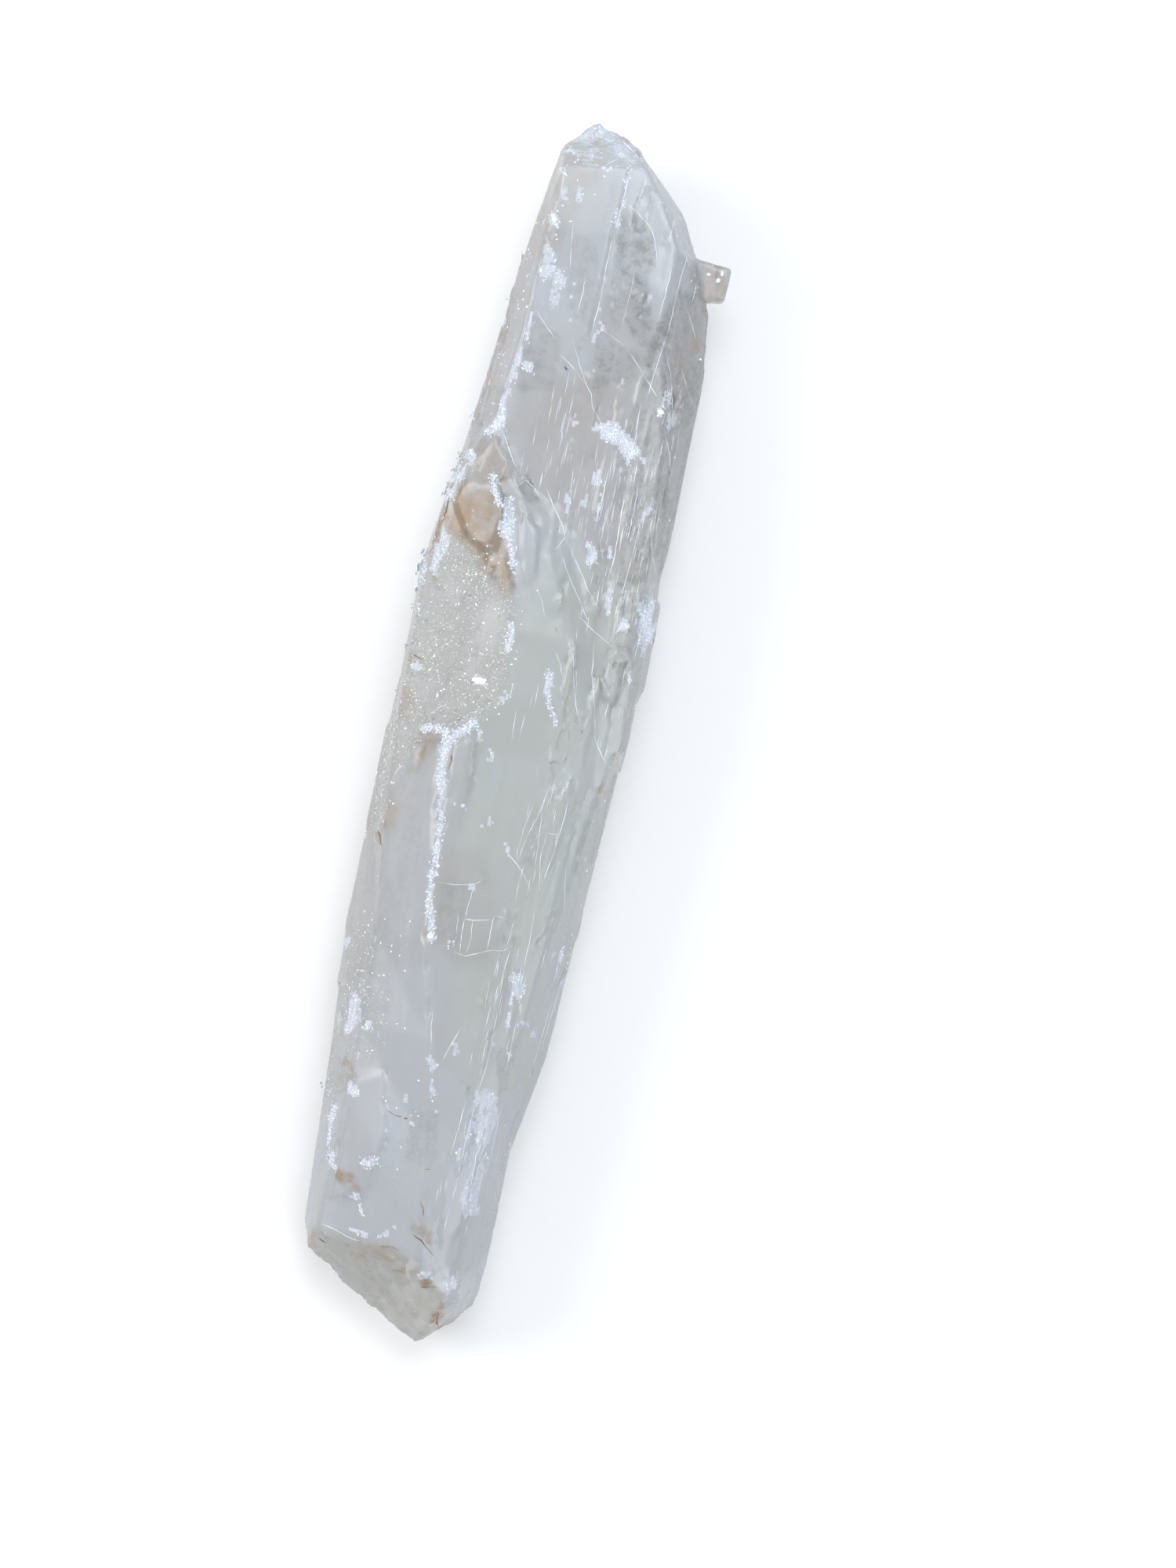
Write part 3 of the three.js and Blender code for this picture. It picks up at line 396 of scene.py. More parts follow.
# Thin dark cracks with dirt in them
CRACKS = [
    (0.48, [[-12.5, -7.4], [-12.4, -9.4], [-12.5, -11.2]]),
    (0.45, [[-26.8, -29], [-25.6, -30.6], [-24.8, -32.4]]),
    (0.38, [[-7.4, -128], [-5, -127.4], [-2, -127.7]]),
    (0.38, [[0.4, -123.2], [2.8, -124.8], [4.8, -126.4], [6.6, -127.6]]),
    (0.3, [[0.6, -115], [1.6, -116.6], [2, -118.4]]),
    (0.38, [[4.6, -135.6], [7, -135.2], [9.2, -134.8]]),
    (0.38, [[-11.6, -94.8], [-9.6, -96], [-7.6, -96]]),
    (0.38, [[-7.2, -96.4], [-6, -96.2]]),
    (0.3, [[0.2, -107.4], [1.6, -107.2]]),
    (0.3, [[-21.6, -128.6], [-19.6, -129.4]]),
    (0.38, [[-26.6, 14.3], [-25, 14.3], [-23.4, 13.8]]),
    (0.3, [[-24.8, 54], [-25.6, 46]]),
    (0.3, [[9.8, -140], [10.6, -143.6], [11.4, -144.8]]),
    (0.22, [[6, 27.6], [7.2, 26.4]]),
    (0.22, [[17, 4.2], [17.8, 3.4]]),
    (0.22, [[21.4, -78], [21.2, -80]]),
]
# Where short cleavage dashes crowd, as ovals
DASH_OVALS = [
    (-1, 79, 4.4, 10, 0.5), (-6, 66, 7, 9, 0.6), (4, 62, 10, 12, 0.7), (12, 60, 9, 16, 1.0),
    (20, 60, 8, 18, 0.9), (23, 40, 7, 16, 1.0), (26.6, 26, 4, 14, 0.8), (16, 76, 5, 9, 0.5),
    (25, 84, 4, 12, 0.5), (15, 36, 4, 12, 0.6), (24, 6, 4, 12, 0.25), (12, -24, 6, 14, 0.3),
    (13, -62, 5, 10, 1.0), (22.4, -58, 3, 22, 0.9), (18, -78, 5, 12, 0.4), (9, -70, 3, 16, 0.4),
    (12, -100, 5, 16, 0.3), (7, -108, 4, 12, 0.3), (4, -34, 4, 6, 0.3), (2, 8, 6, 6, 0.15),
]
RIM_HEIGHTS = np.arange(14, 30) * MM  # where the rim is looked for from the side
# Small crystals grown on the rim, and white flakes lying on the face, each (x, y, width, length)
LUMPS = [
    (-29.2, 39, 1.8, 2.6), (-29.6, 36, 2, 3), (-29.6, 33.2, 1.8, 2.4), (-28.8, 30.6, 1.3, 1.6),
    (-28.6, 26, 1.5, 2.2), (-28.6, 16, 1, 1.4), (-29, 6, 1, 2), (-28.6, -92.6, 2.4, 2),
    (-27.2, 55, 1.4, 3), (-26, 60, 1.4, 2), (-25.2, 64, 1.2, 2), (30.4, 30, 1, 4), (-19.6, 103, 0.8, 1.6),
    (-22.6, 74, 0.9, 2),
]
WHITE_FLAKES = [
    (-9.4, 11.4, 3.4, 1.6), (21.4, 83.6, 1.3, 1.1), (-10.6, -34.6, 0.8, 1.2), (-9.3, -51.6, 1.6, 1.4),
    (28.3, 98, 0.8, 0.5), (26.4, 118.6, 1, 0.8), (29, 117.6, 1, 1.2), (29.6, 119.4, 0.8, 1.4),
    (-12.8, 124.6, 1.2, 1), (7, -102, 0.4, 0.6),
]
# Where lone white flakes lie as painted glints, as ovals
GLINT_FLAKE_OVALS = [
    (-24.6, 62, 2.6, 6, 1.0), (-25, 50, 2, 8, 0.7), (-24, -64, 4, 12, 1.0), (-6, 147, 6, 3, 0.8),
    (-11, 125, 4, 14, 0.5), (-10, 48, 2, 6, 0.8), (-17, -68, 7, 22, 0.25), (-10, -98, 12, 14, 0.15),
    (-9, 138, 6, 8, 0.6), (-19, 104, 4, 36, 0.4), (27, 116, 5, 6, 0.8), (-14, 22, 14, 26, 1.0),
    (-27, -14, 4, 20, 0.6), (-24, -64, 5, 14, 1.0), (-14, 88, 3, 8, 0.5), (12, -100, 5, 16, 0.25),
]

# Numbers that vary smoothly in space

AXIS_FACTORS = (374761393, 668265263, 2147483647)  # large numbers that mix up whole-number places
SEED_FACTOR = 974711
MIX_FACTOR = 1274126177
LOW_BITS = 0xFFFFFF


def lattice(cells, seed):
    """A number from 0 to 1 for each whole-number place, the same every time."""
    mixed = sum(cells[..., axis] * factor for axis, factor in enumerate(AXIS_FACTORS)) + seed * SEED_FACTOR
    mixed = (mixed ^ (mixed >> 13)) * MIX_FACTOR
    return ((mixed ^ (mixed >> 16)) & LOW_BITS) / LOW_BITS


def noise_at(points, size, seed=0):
    """Smooth noise from -1 to 1 at points, with cells of the given size along each axis."""
    place = np.asarray(points) / np.asarray(size)
    low = np.floor(place).astype(np.int64)
    share = place - low
    share = share * share * (3 - 2 * share)
    total = 0.0
    for corner in np.ndindex(2, 2, 2):
        weight = np.prod(np.where(corner, share, 1 - share), axis=-1)
        total = total + weight * lattice(low + np.array(corner), seed)
    return 2 * total - 1


def layered(points, size, seed=0, layers=3):
    """Noise with finer noise on top, each layer half as large and half as strong."""
    size = np.asarray(size, float) * np.ones(3)
    return sum(noise_at(points, size / 2**k, seed + k) / 2**k for k in range(layers))


def smooth(low, high, value):
    """A smooth step from 0 at low to 1 at high."""
    share = np.clip((value - low) / (high - low), 0, 1)
    return share * share * (3 - 2 * share)


# Masks over the crystal as seen from above

def as_seen(points):
    """The [x, y] at the crystal's middle height that hide each point from the camera, in MM."""
    centre = np.array(VIEW_CENTRE)
    spread = VIEW_HEIGHT / (VIEW_HEIGHT + MIDDLE_HEIGHT - points[:, 2])
    return (centre + (points[:, :2] - centre) * spread[:, None]) / MM


def ovals(xy, marks):
    """The strength of the nearest oval mark: full in its middle and none outside it."""
    total = np.zeros(len(xy))
    for x, y, half_width, half_length, strength in marks:
        away = np.hypot((xy[:, 0] - x) / half_width, (xy[:, 1] - y) / half_length)
        total = np.maximum(total, strength * (1 - smooth(0.35, 1.25, away)))
    return total


def distance_to(xy, path):
    """The distance of each point to a path of straight stretches."""
    path = np.array(path, float)
    best = np.full(len(xy), np.inf)
    for a, b in zip(path[:-1], path[1:]):
        along = np.clip(((xy - a) @ (b - a)) / ((b - a) @ (b - a)), 0, 1)
        best = np.minimum(best, np.linalg.norm(xy - a - along[:, None] * (b - a), axis=1))
    return best


def within(xy, outline):
    """True for the points inside an outline."""
    inside = np.zeros(len(xy), bool)
    corners = np.array(outline, float)
    for (ax, ay), (bx, by) in zip(corners, np.roll(corners, -1, axis=0)):
        if ay == by:
            continue
        crosses = (ay > xy[:, 1]) != (by > xy[:, 1])
        inside ^= crosses & (xy[:, 0] < ax + (xy[:, 1] - ay) / (by - ay) * (bx - ax))
    return inside


def outlines(xy, marks, fade):
    """The strength of the outlines that hold each point, fading to none across their edges."""
    total = np.zeros(len(xy))
    for strength, outline in marks:
        away = distance_to(xy, outline + outline[:1])
        signed = np.where(within(xy, outline), away, -away)
        total = np.maximum(total, strength * smooth(-fade, fade, signed))
    return total


# The body

def merged_solid():
    """The frame's solid as points and triangles with shared corners."""
    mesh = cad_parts[NODE].data
    points = np.empty(len(mesh.vertices) * 3)
    mesh.vertices.foreach_get("co", points)
    faces = np.array([list(p.vertices) for p in mesh.polygons])
    keys = np.round(points.reshape(-1, 3) / CORNER_WELD).astype(np.int64)
    _, first, back = np.unique(keys, axis=0, return_index=True, return_inverse=True)
    faces = back.reshape(-1)[faces]
    whole = (faces[:, 0] != faces[:, 1]) & (faces[:, 1] != faces[:, 2]) & (faces[:, 2] != faces[:, 0])
    return points.reshape(-1, 3)[first], faces[whole]


def sharp_edge_points(points, faces, spacing):
    """Points along the edges where two faces meet at more than SHARP_ANGLE."""
    normals = face_normals(points, faces)
    ends = np.sort(np.stack([faces, np.roll(faces, -1, axis=1)], axis=2).reshape(-1, 2), axis=1)
    owner = np.repeat(np.arange(len(faces)), 3)
    edges, back = np.unique(ends, axis=0, return_inverse=True)
    pair = owner[np.argsort(back.reshape(-1), kind="stable")].reshape(-1, 2)
    bend = (normals[pair[:, 0]] * normals[pair[:, 1]]).sum(axis=1) < math.cos(SHARP_ANGLE)
    rows = []
    for start, end in zip(points[edges[bend, 0]], points[edges[bend, 1]]):
        steps = max(1, int(np.linalg.norm(end - start) / spacing))
        rows.append(start + (end - start) * ((np.arange(steps) + 0.5) / steps)[:, None])
    return np.vstack(rows)


def face_normals(points, faces):
    first, second, third = (points[faces[:, corner]] for corner in range(3))
    normal = np.cross(second - first, third - first)
    return normal / np.maximum(np.linalg.norm(normal, axis=1), 1e-20)[:, None]


def mesh_object(name, points, faces):
    mesh = bpy.data.meshes.new(name)
    mesh.from_pydata(np.asarray(points).tolist(), [], [list(map(int, face)) for face in faces])
    mesh.update()
    piece = bpy.data.objects.new(name, mesh)
    bpy.context.scene.collection.objects.link(piece)
    return piece


def evaluated(piece):
    """The plain mesh that a piece's modifiers make of it."""
    bpy.context.view_layer.update()
    return bpy.data.meshes.new_from_object(piece.evaluated_get(bpy.context.evaluated_depsgraph_get()))


def even_mesh(name, points, faces):
    """The solid again, in even faces that keep its sharp edges."""
    piece = mesh_object(name, points, faces)
    remesh = piece.modifiers.new("even", "REMESH")
    remesh.mode = "SHARP"
    remesh.octree_depth = GRID_DEPTH
    remesh.scale = GRID_SHARE
    remesh.use_remove_disconnected = False
    mesh = evaluated(piece)
    piece.modifiers.clear()
    piece.data = mesh
    mesh.name = name
    return piece


def vectors(collection, key):
    values = np.empty(len(collection) * 3)
    collection.foreach_get(key, values)
    return values.reshape(-1, 3)


def edge_distance(points, marks):
    """How far each point is from the nearest of the marks."""
    tree = KDTree(len(marks))
    for i, mark in enumerate(marks):
        tree.insert(mark, i)
    tree.balance()
    return np.array([tree.find(p)[2] for p in points])


def eased(points, edges, share):
    """The points drawn towards the middle of their neighbours, by each one's share."""
    ends = np.concatenate([edges[:, 0], edges[:, 1]])
    others = np.concatenate([edges[:, 1], edges[:, 0]])
    count = np.maximum(np.bincount(ends, minlength=len(points)), 1)
    for _ in range(EASE_ROUNDS):
        middle = np.stack([np.bincount(ends, points[others, k], len(points)) for k in range(3)], axis=1)
        points = points + share[:, None] * (middle / count[:, None] - points)
    return points


def worn(points, normals, edge_away):
    """The points moved by growth, wear and fracture."""
    grown = SWELL * layered(points, np.array([9, 34, 9]) * MM, seed=3)
    grown += FURROW * layered(points, np.array([2.2, 26, 2.2]) * MM, seed=9, layers=2)
    near = 1 - smooth(0, CHIP_REACH, edge_away)
    nick = smooth(0.05, 0.75, layered(points, 3.4 * MM, seed=21))
    chipped = -near**2 * (EDGE_WEAR + CHIP_DEPTH * nick)
    broken = smooth(0, 6 * MM, END_LOW - points[:, 1]) + smooth(0, 3 * MM, points[:, 1] - END_UP)
    rough = FRACTURE * broken * (layered(points, 4.4 * MM, seed=33) - 0.4)
    move = grown * (1 - 0.6 * near) + chipped + rough
    resting = smooth(*REST_HEIGHTS, points[:, 2])
    moved = points + normals * (move * resting)[:, None]
    low, high = np.array(CAD_BOX)
    return np.clip(moved, low, high)


def paint(piece, name, values):
    """A number for each point of a piece, for its material and for what grows on it."""
    layer = piece.data.attributes.new(name, "FLOAT", "POINT")
    layer.data.foreach_set("value", np.clip(values, 0, 4).astype(np.float32))


def mark_body(body, points, normals, edge_away):
    """Paints where the body is sugary, crushed, powdered, stained, clear or worn, and where the painted sky
    reflection, painted shade and painted glints lie.
    """
    xy = as_seen(points)
    frayed = np.stack([layered(points, FRAY_SIZE, seed=seed) for seed in (41, 43)], axis=1)
    ragged = xy + FRAY_SOFT * frayed
    drawn = xy + FRAY_SHARP * frayed
    up = smooth(*FACING, normals[:, 2])
    hidden = 1 - up
    blotch = layered(points, np.array([8, 18, 8]) * MM, seed=61)
    fleck = layered(points, np.array([2, 9, 2]) * MM, seed=51)
    crust = layered(points, np.array([12, 26, 12]) * MM, seed=55)
    sugar = outlines(ragged, SUGAR_OUTLINES, 1.8) * (1 - ovals(ragged, SMOOTH_OVALS))
    paint(body, "sugar", np.maximum(sugar * up, smooth(0.35, 0.8, crust) * hidden))
    crushed = np.zeros(len(xy))
    for half, path in BRUISES:
        crushed = np.maximum(crushed, 1 - smooth(half * 0.5, half * 1.25, distance_to(drawn, path)))
    paint(body, "crushed", crushed * up)
    powder = np.maximum(POWDER_SHARE * ovals(ragged, POWDER_OVALS), outlines(drawn, FROST_OUTLINES, 0.8))
    powder = np.maximum(powder * up, 0.8 * smooth(0.45, 0.9, fleck) * hidden)
    paint(body, "powder", powder)
    clumps = layered(points, np.array([1.2, 2.4, 1.2]) * MM, seed=71)
    streaks = layered(points, np.array([1.4, 16, 1.4]) * MM, seed=73)
    banks = layered(points, np.array([3, 6, 3]) * MM, seed=75)
    paint(body, "frost", powder * (1 + 0.35 * banks + 0.35 * streaks))
    paint(body, "chalky", smooth(0.55, 1.2, powder) * smooth(-0.5, 0.3, clumps))
    paint(body, "green", outlines(ragged, GREEN_OUTLINES, 4.0))
    stain = np.maximum(ovals(ragged, STAIN_OVALS), outlines(drawn, STAIN_OUTLINES, 0.9)) * up
    paint(body, "stain", np.maximum(stain, 0.6 * smooth(0.55, 1.0, blotch) * hidden))
    # Painted reflection of the sky, on the faces that lean up
    veil = np.maximum(ovals(ragged, SKY_REFLECTION_OVALS), outlines(drawn, SKY_REFLECTION_OUTLINES, 0.8))
    paint(body, "veil", veil * up)
    # Clear windows and painted shade, on the faces that lean up
    paint(body, "window", outlines(drawn, CLEAR_AND_SHADE_OUTLINES, 0.5) * up)
    paint(body, "beige", np.maximum(outlines(ragged, BEIGE_OUTLINES, 2.5) * up, 0.75 * hidden))
    paint(body, "olive", np.maximum(outlines(drawn, OLIVE_OUTLINES, 0.8), 0.3 * hidden))
    paint(body, "edge", (1 - smooth(0.1 * MM, 1.1 * MM, edge_away)) * smooth(0, 0.5, normals[:, 2]))
    paint(body, "dashes", ovals(ragged, DASH_OVALS) * smooth(0.5, 0.8, normals[:, 2]))
    # Painted glints: white flakes where light is caught on the face
    paint(body, "glint_flakes_mask", np.maximum(ovals(xy, GLINT_FLAKE_OVALS) * up, 0.3 * hidden))


def frosted_faces(mesh):
    """Gives the faces that the frost covers the body's second material."""
    frost = np.empty(len(mesh.vertices), np.float32)
    mesh.attributes["frost"].data.foreach_get("value", frost)
    first = np.empty(len(mesh.polygons), np.int32)
    mesh.polygons.foreach_get("loop_start", first)
    corner = np.empty(len(mesh.loops), np.int32)
    mesh.loops.foreach_get("vertex_index", corner)
    mesh.polygons.foreach_set("material_index", (frost[corner[first]] > FROST_LEVEL).astype(np.int32))


def make_body():
    """The crystal itself, in even faces, marked and worn."""
    solid_points, solid_faces = merged_solid()
    body = even_mesh("crystal_body", solid_points, solid_faces)
    mesh = body.data
    points, normals = vectors(mesh.vertices, "co"), vectors(mesh.vertices, "normal")
    edge_away = edge_distance(points, sharp_edge_points(solid_points, solid_faces, EDGE_SPACING))
    edges = np.empty(len(mesh.edges) * 2, np.int64)
    mesh.edges.foreach_get("vertices", edges)
    edges = edges.reshape(-1, 2)
    # A folded sliver of the remesh turns a point's normal, so each is evened out with its neighbours
    normals = eased(normals, edges, np.full(len(points), EASE_MOST))
    normals = normals / np.linalg.norm(normals, axis=1)[:, None]
    mark_body(body, points, normals, edge_away)
    share = EASE_LEAST + (EASE_MOST - EASE_LEAST) * (1 - smooth(0.3 * EASE_REACH, EASE_REACH, edge_away))
    share = share * smooth(*REST_HEIGHTS, points[:, 2])
    points = worn(eased(points, edges, share), normals, edge_away)
    mesh.vertices.foreach_set("co", points.reshape(-1))
    mesh.polygons.foreach_set("use_smooth", [True] * len(mesh.polygons))
    mesh.update()
    mesh.set_sharp_from_angle(angle=SHADE_ANGLE)
    return body


# Node trees

def new_group(name, inputs, outputs, kind="ShaderNodeTree"):
    """An empty node group with named inputs, each (name, socket type, value), and outputs."""
    tree = bpy.data.node_groups.new(name, kind)
    for label, socket, value in inputs:
        made = tree.interface.new_socket(name=label, in_out="INPUT", socket_type=socket)
        if value is not None:
            made.default_value = value
    for label, socket in outputs:
        tree.interface.new_socket(name=label, in_out="OUTPUT", socket_type=socket)
    return tree, tree.nodes.new("NodeGroupInput"), tree.nodes.new("NodeGroupOutput")


class Wiring:
    """Short ways to add and join the nodes of one tree."""

    def __init__(self, tree):
        self.tree = tree

    def node(self, kind, inputs=None, **settings):
        """A new node; its inputs are given by name, or by number where names repeat."""
        made = self.tree.nodes.new(kind)
        for key, value in settings.items():
            setattr(made, key, value)
        for key, value in (inputs or {}).items():
            self.join(value, made.inputs[key])
        return made

    def join(self, value, socket):
        """Links an output to a socket, or sets the socket to a plain value."""
        if isinstance(value, bpy.types.NodeSocket):
            self.tree.links.new(value, socket)
        else:
            socket.default_value = value

    def math(self, kind, a, b=0.0, clamp=False):
        return self.node("ShaderNodeMath", {0: a, 1: b}, operation=kind, use_clamp=clamp).outputs[0]

    def scaled(self, value, factor):
        return self.math("MULTIPLY", value, factor)

    def vector_math(self, kind, a, b):
        return self.node("ShaderNodeVectorMath", {0: a, 1: b}, operation=kind).outputs[0]

    def vector_scaled(self, vector, factor):
        return self.node("ShaderNodeVectorMath", {0: vector, "Scale": factor}, operation="SCALE").outputs[0]

    def ramp(self, value, low, high, to_low=0.0, to_high=1.0):
        """A smooth step of a value between two limits."""
        inputs = dict(enumerate((value, low, high, to_low, to_high)))
        return self.node("ShaderNodeMapRange", inputs, interpolation_type="SMOOTHSTEP").outputs[0]

    def mix(self, share, a, b):
        """A mix of two colours, whose sockets come after those for other kinds of data."""
        inputs = {"Factor": share, 6: a, 7: b}
        return self.node("ShaderNodeMix", inputs, data_type="RGBA", blend_type="MIX").outputs[2]

    def noise(self, place, scale, detail=3.0, rough=0.55, kind="FBM"):
        """Noise from 0 to 1, with scale cells a metre."""
        inputs = {"Vector": place, "Scale": scale, "Detail": detail, "Roughness": rough}
        return self.node("ShaderNodeTexNoise", inputs, noise_type=kind).outputs[0]

    def stretched(self, place, scale):
        """The place for a pattern drawn out along the axes that are scaled down."""
        return self.node("ShaderNodeMapping", {"Vector": place, "Scale": scale}).outputs[0]

    def painted(self, name):
        """A mask painted on the mesh."""
        return self.node("ShaderNodeAttribute", attribute_name=name).outputs["Fac"]

    def bump(self, height, distance):
        """Fine relief, as a normal."""
        inputs = {"Strength": RELIEF, "Distance": distance, "Height": height}
        return self.node("ShaderNodeBump", inputs).outputs[0]

    def group(self, tree, **values):
        return self.node("ShaderNodeGroup", values, node_tree=tree)


def fibre_grain():
    """Fine lengthwise striations of the cleavage, as a height and a mask of its bright threads."""
    tree, given, result = new_group(
        "fibre_grain",
        [
            ("Place", "NodeSocketVector", None),
            ("Fineness", "NodeSocketFloat", 1.0),
            ("Threads", "NodeSocketFloat", 0.5),
        ],
        [("Height", "NodeSocketFloat"), ("Mask", "NodeSocketFloat")],
    )
    w = Wiring(tree)
    fineness = given.outputs["Fineness"]
    place = w.stretched(given.outputs["Place"], (1.0, 0.055, 1.0))
    broad = w.noise(place, w.scaled(fineness, 420.0), 2.0)
    fine = w.noise(place, w.scaled(fineness, 1500.0), 3.0)
    height = w.math("ADD", w.scaled(broad, 0.6), w.scaled(fine, 0.4))
    short = w.stretched(given.outputs["Place"], (1.0, 0.07, 1.0))
    thread = w.noise(short, w.scaled(fineness, 2000.0), 1.0)
    level = w.math("SUBTRACT", 0.86, w.scaled(given.outputs["Threads"], 0.26))
    w.join(height, result.inputs["Height"])
    w.join(w.ramp(thread, level, w.math("ADD", level, 0.08)), result.inputs["Mask"])
    return tree


def cloudiness():
    """Milky clouds inside the crystal, stretched along it."""
    tree, given, result = new_group(
        "cloudiness",
        [("Place", "NodeSocketVector", None), ("Size", "NodeSocketFloat", 1.0)],
        [("Cloud", "NodeSocketFloat"), ("Wisp", "NodeSocketFloat")],
    )
    w = Wiring(tree)
    place = w.stretched(given.outputs["Place"], (1.0, 0.42, 1.0))
    cloud = w.noise(place, w.math("DIVIDE", 75.0, given.outputs["Size"]), 4.0, 0.6)
    wisp = w.noise(place, w.math("DIVIDE", 240.0, given.outputs["Size"]), 5.0, 0.65, "RIDGED_MULTIFRACTAL")
    w.join(w.ramp(cloud, 0.36, 0.66), result.inputs["Cloud"])
    w.join(w.ramp(wisp, 0.5, 1.3), result.inputs["Wisp"])
    return tree


def powder_grain():
    """Where powder or crushed crystal lies within a painted patch, with its grain as a height."""
    tree, given, result = new_group(
        "powder_grain",
        [
            ("Place", "NodeSocketVector", None),
            ("Patch", "NodeSocketFloat", 0.0),
            ("Grain", "NodeSocketFloat", 1.0),
        ],
        [("Mask", "NodeSocketFloat"), ("Height", "NodeSocketFloat")],
    )
    w = Wiring(tree)
    patch = given.outputs["Patch"]
    place = w.stretched(given.outputs["Place"], (1.0, 0.5, 1.0))
    speck = w.noise(place, w.math("DIVIDE", 900.0, given.outputs["Grain"]), 4.0, 0.7)
    level = w.math("SUBTRACT", 0.78, w.scaled(patch, 0.42))
    specks = w.ramp(speck, level, w.math("ADD", level, 0.12))
    mask = w.math("MULTIPLY", specks, w.ramp(patch, 0.02, 0.2))
    w.join(mask, result.inputs["Mask"])
    w.join(w.math("MULTIPLY", speck, mask), result.inputs["Height"])
    return tree


# Materials

GYPSUM_INDEX = 1.52  # how strongly gypsum bends light
BODY_CLARITY = 0.5  # how much of the light goes through the clouded body
GRAIN_CLARITY = 0.2  # and through a sugar grain
DEPTH_TINT = (0.86, 0.92, 0.80, 1)  # what the crystal's depth lets through
DEPTH_DENSITY = 9.0  # and how strongly it colours, a metre
RELIEF = 0.4  # the strength of the fine relief of every finish

GREENISH = (0.69, 0.73, 0.69, 1)
NEUTRAL = (0.67, 0.68, 0.69, 1)
WARM_GREY = (0.64, 0.625, 0.625, 1)
# The painted reflection of the sky
SKY_REFLECTION_BLUE = (0.72, 0.765, 0.84, 1)
BEIGE = (0.61, 0.565, 0.55, 1)
OLIVE = (0.65, 0.62, 0.57, 1)
# Clear windows, and painted shade
CLEAR_AND_SHADE_GREY = (0.44, 0.455, 0.46, 1)
DEEP = (0.36, 0.365, 0.36, 1)
SUGARY = (0.64, 0.63, 0.605, 1)
OCHRE = (0.49, 0.345, 0.225, 1)
MILK = (0.74, 0.77, 0.80, 1)
CHALK = (0.87, 0.91, 0.98, 1)
FROST_SHADE = (0.41, 0.432, 0.475, 1)
FROST_WHITE = (0.50, 0.53, 0.585, 1)
SPLIT_DULL = (0.66, 0.70, 0.76, 1)
SPLIT_WHITE = (0.82, 0.86, 0.92, 1)
GRAIN_DULL = (0.62, 0.605, 0.58, 1)
GRAIN_PALE = (0.71, 0.705, 0.69, 1)
# White for painted glints
GLINT_WHITE = (0.95, 0.95, 0.96, 1)
FLAKE_DULL = (0.86, 0.88, 0.9, 1)
CRUSHED_BLUE = (0.60, 0.65, 0.73, 1)
CRUSHED_WHITE = (0.74, 0.79, 0.86, 1)
DIRT_DARK = (0.14, 0.10, 0.07, 1)
DIRT_PALE = (0.30, 0.23, 0.17, 1)
# The body's tints, from the lowest up: the painted mask, how strongly it is laid on, and its colour
TINTS = [
    ("green", 1.0, GREENISH),
    ("dashes", 0.4, WARM_GREY),
    ("beige", 1.0, BEIGE),
    ("olive", 0.8, OLIVE),
    # painted reflection of the sky
    ("veil", 0.85, SKY_REFLECTION_BLUE),
    # clear windows and painted shade
    ("window", 0.5, CLEAR_AND_SHADE_GREY),
]


def new_material(name):
    """A material with its wiring, its shader, and the place on the object."""
    material = bpy.data.materials.new(name)
    material.use_nodes = True
    tree = material.node_tree
    tree.nodes.clear()
    w = Wiring(tree)
    shader = w.node("ShaderNodeBsdfPrincipled")
    out = w.node("ShaderNodeOutputMaterial")
    w.join(shader.outputs[0], out.inputs["Surface"])
    place = w.node("ShaderNodeTexCoord").outputs["Object"]
    return material, w, shader, place


def absorb(w, colour, density):
    """Plain absorption of light on its way through the crystal."""
    volume = w.node("ShaderNodeVolumeAbsorption", {"Color": colour, "Density": density})
    out = next(node for node in w.tree.nodes if node.type == "OUTPUT_MATERIAL")
    w.join(volume.outputs[0], out.inputs["Volume"])


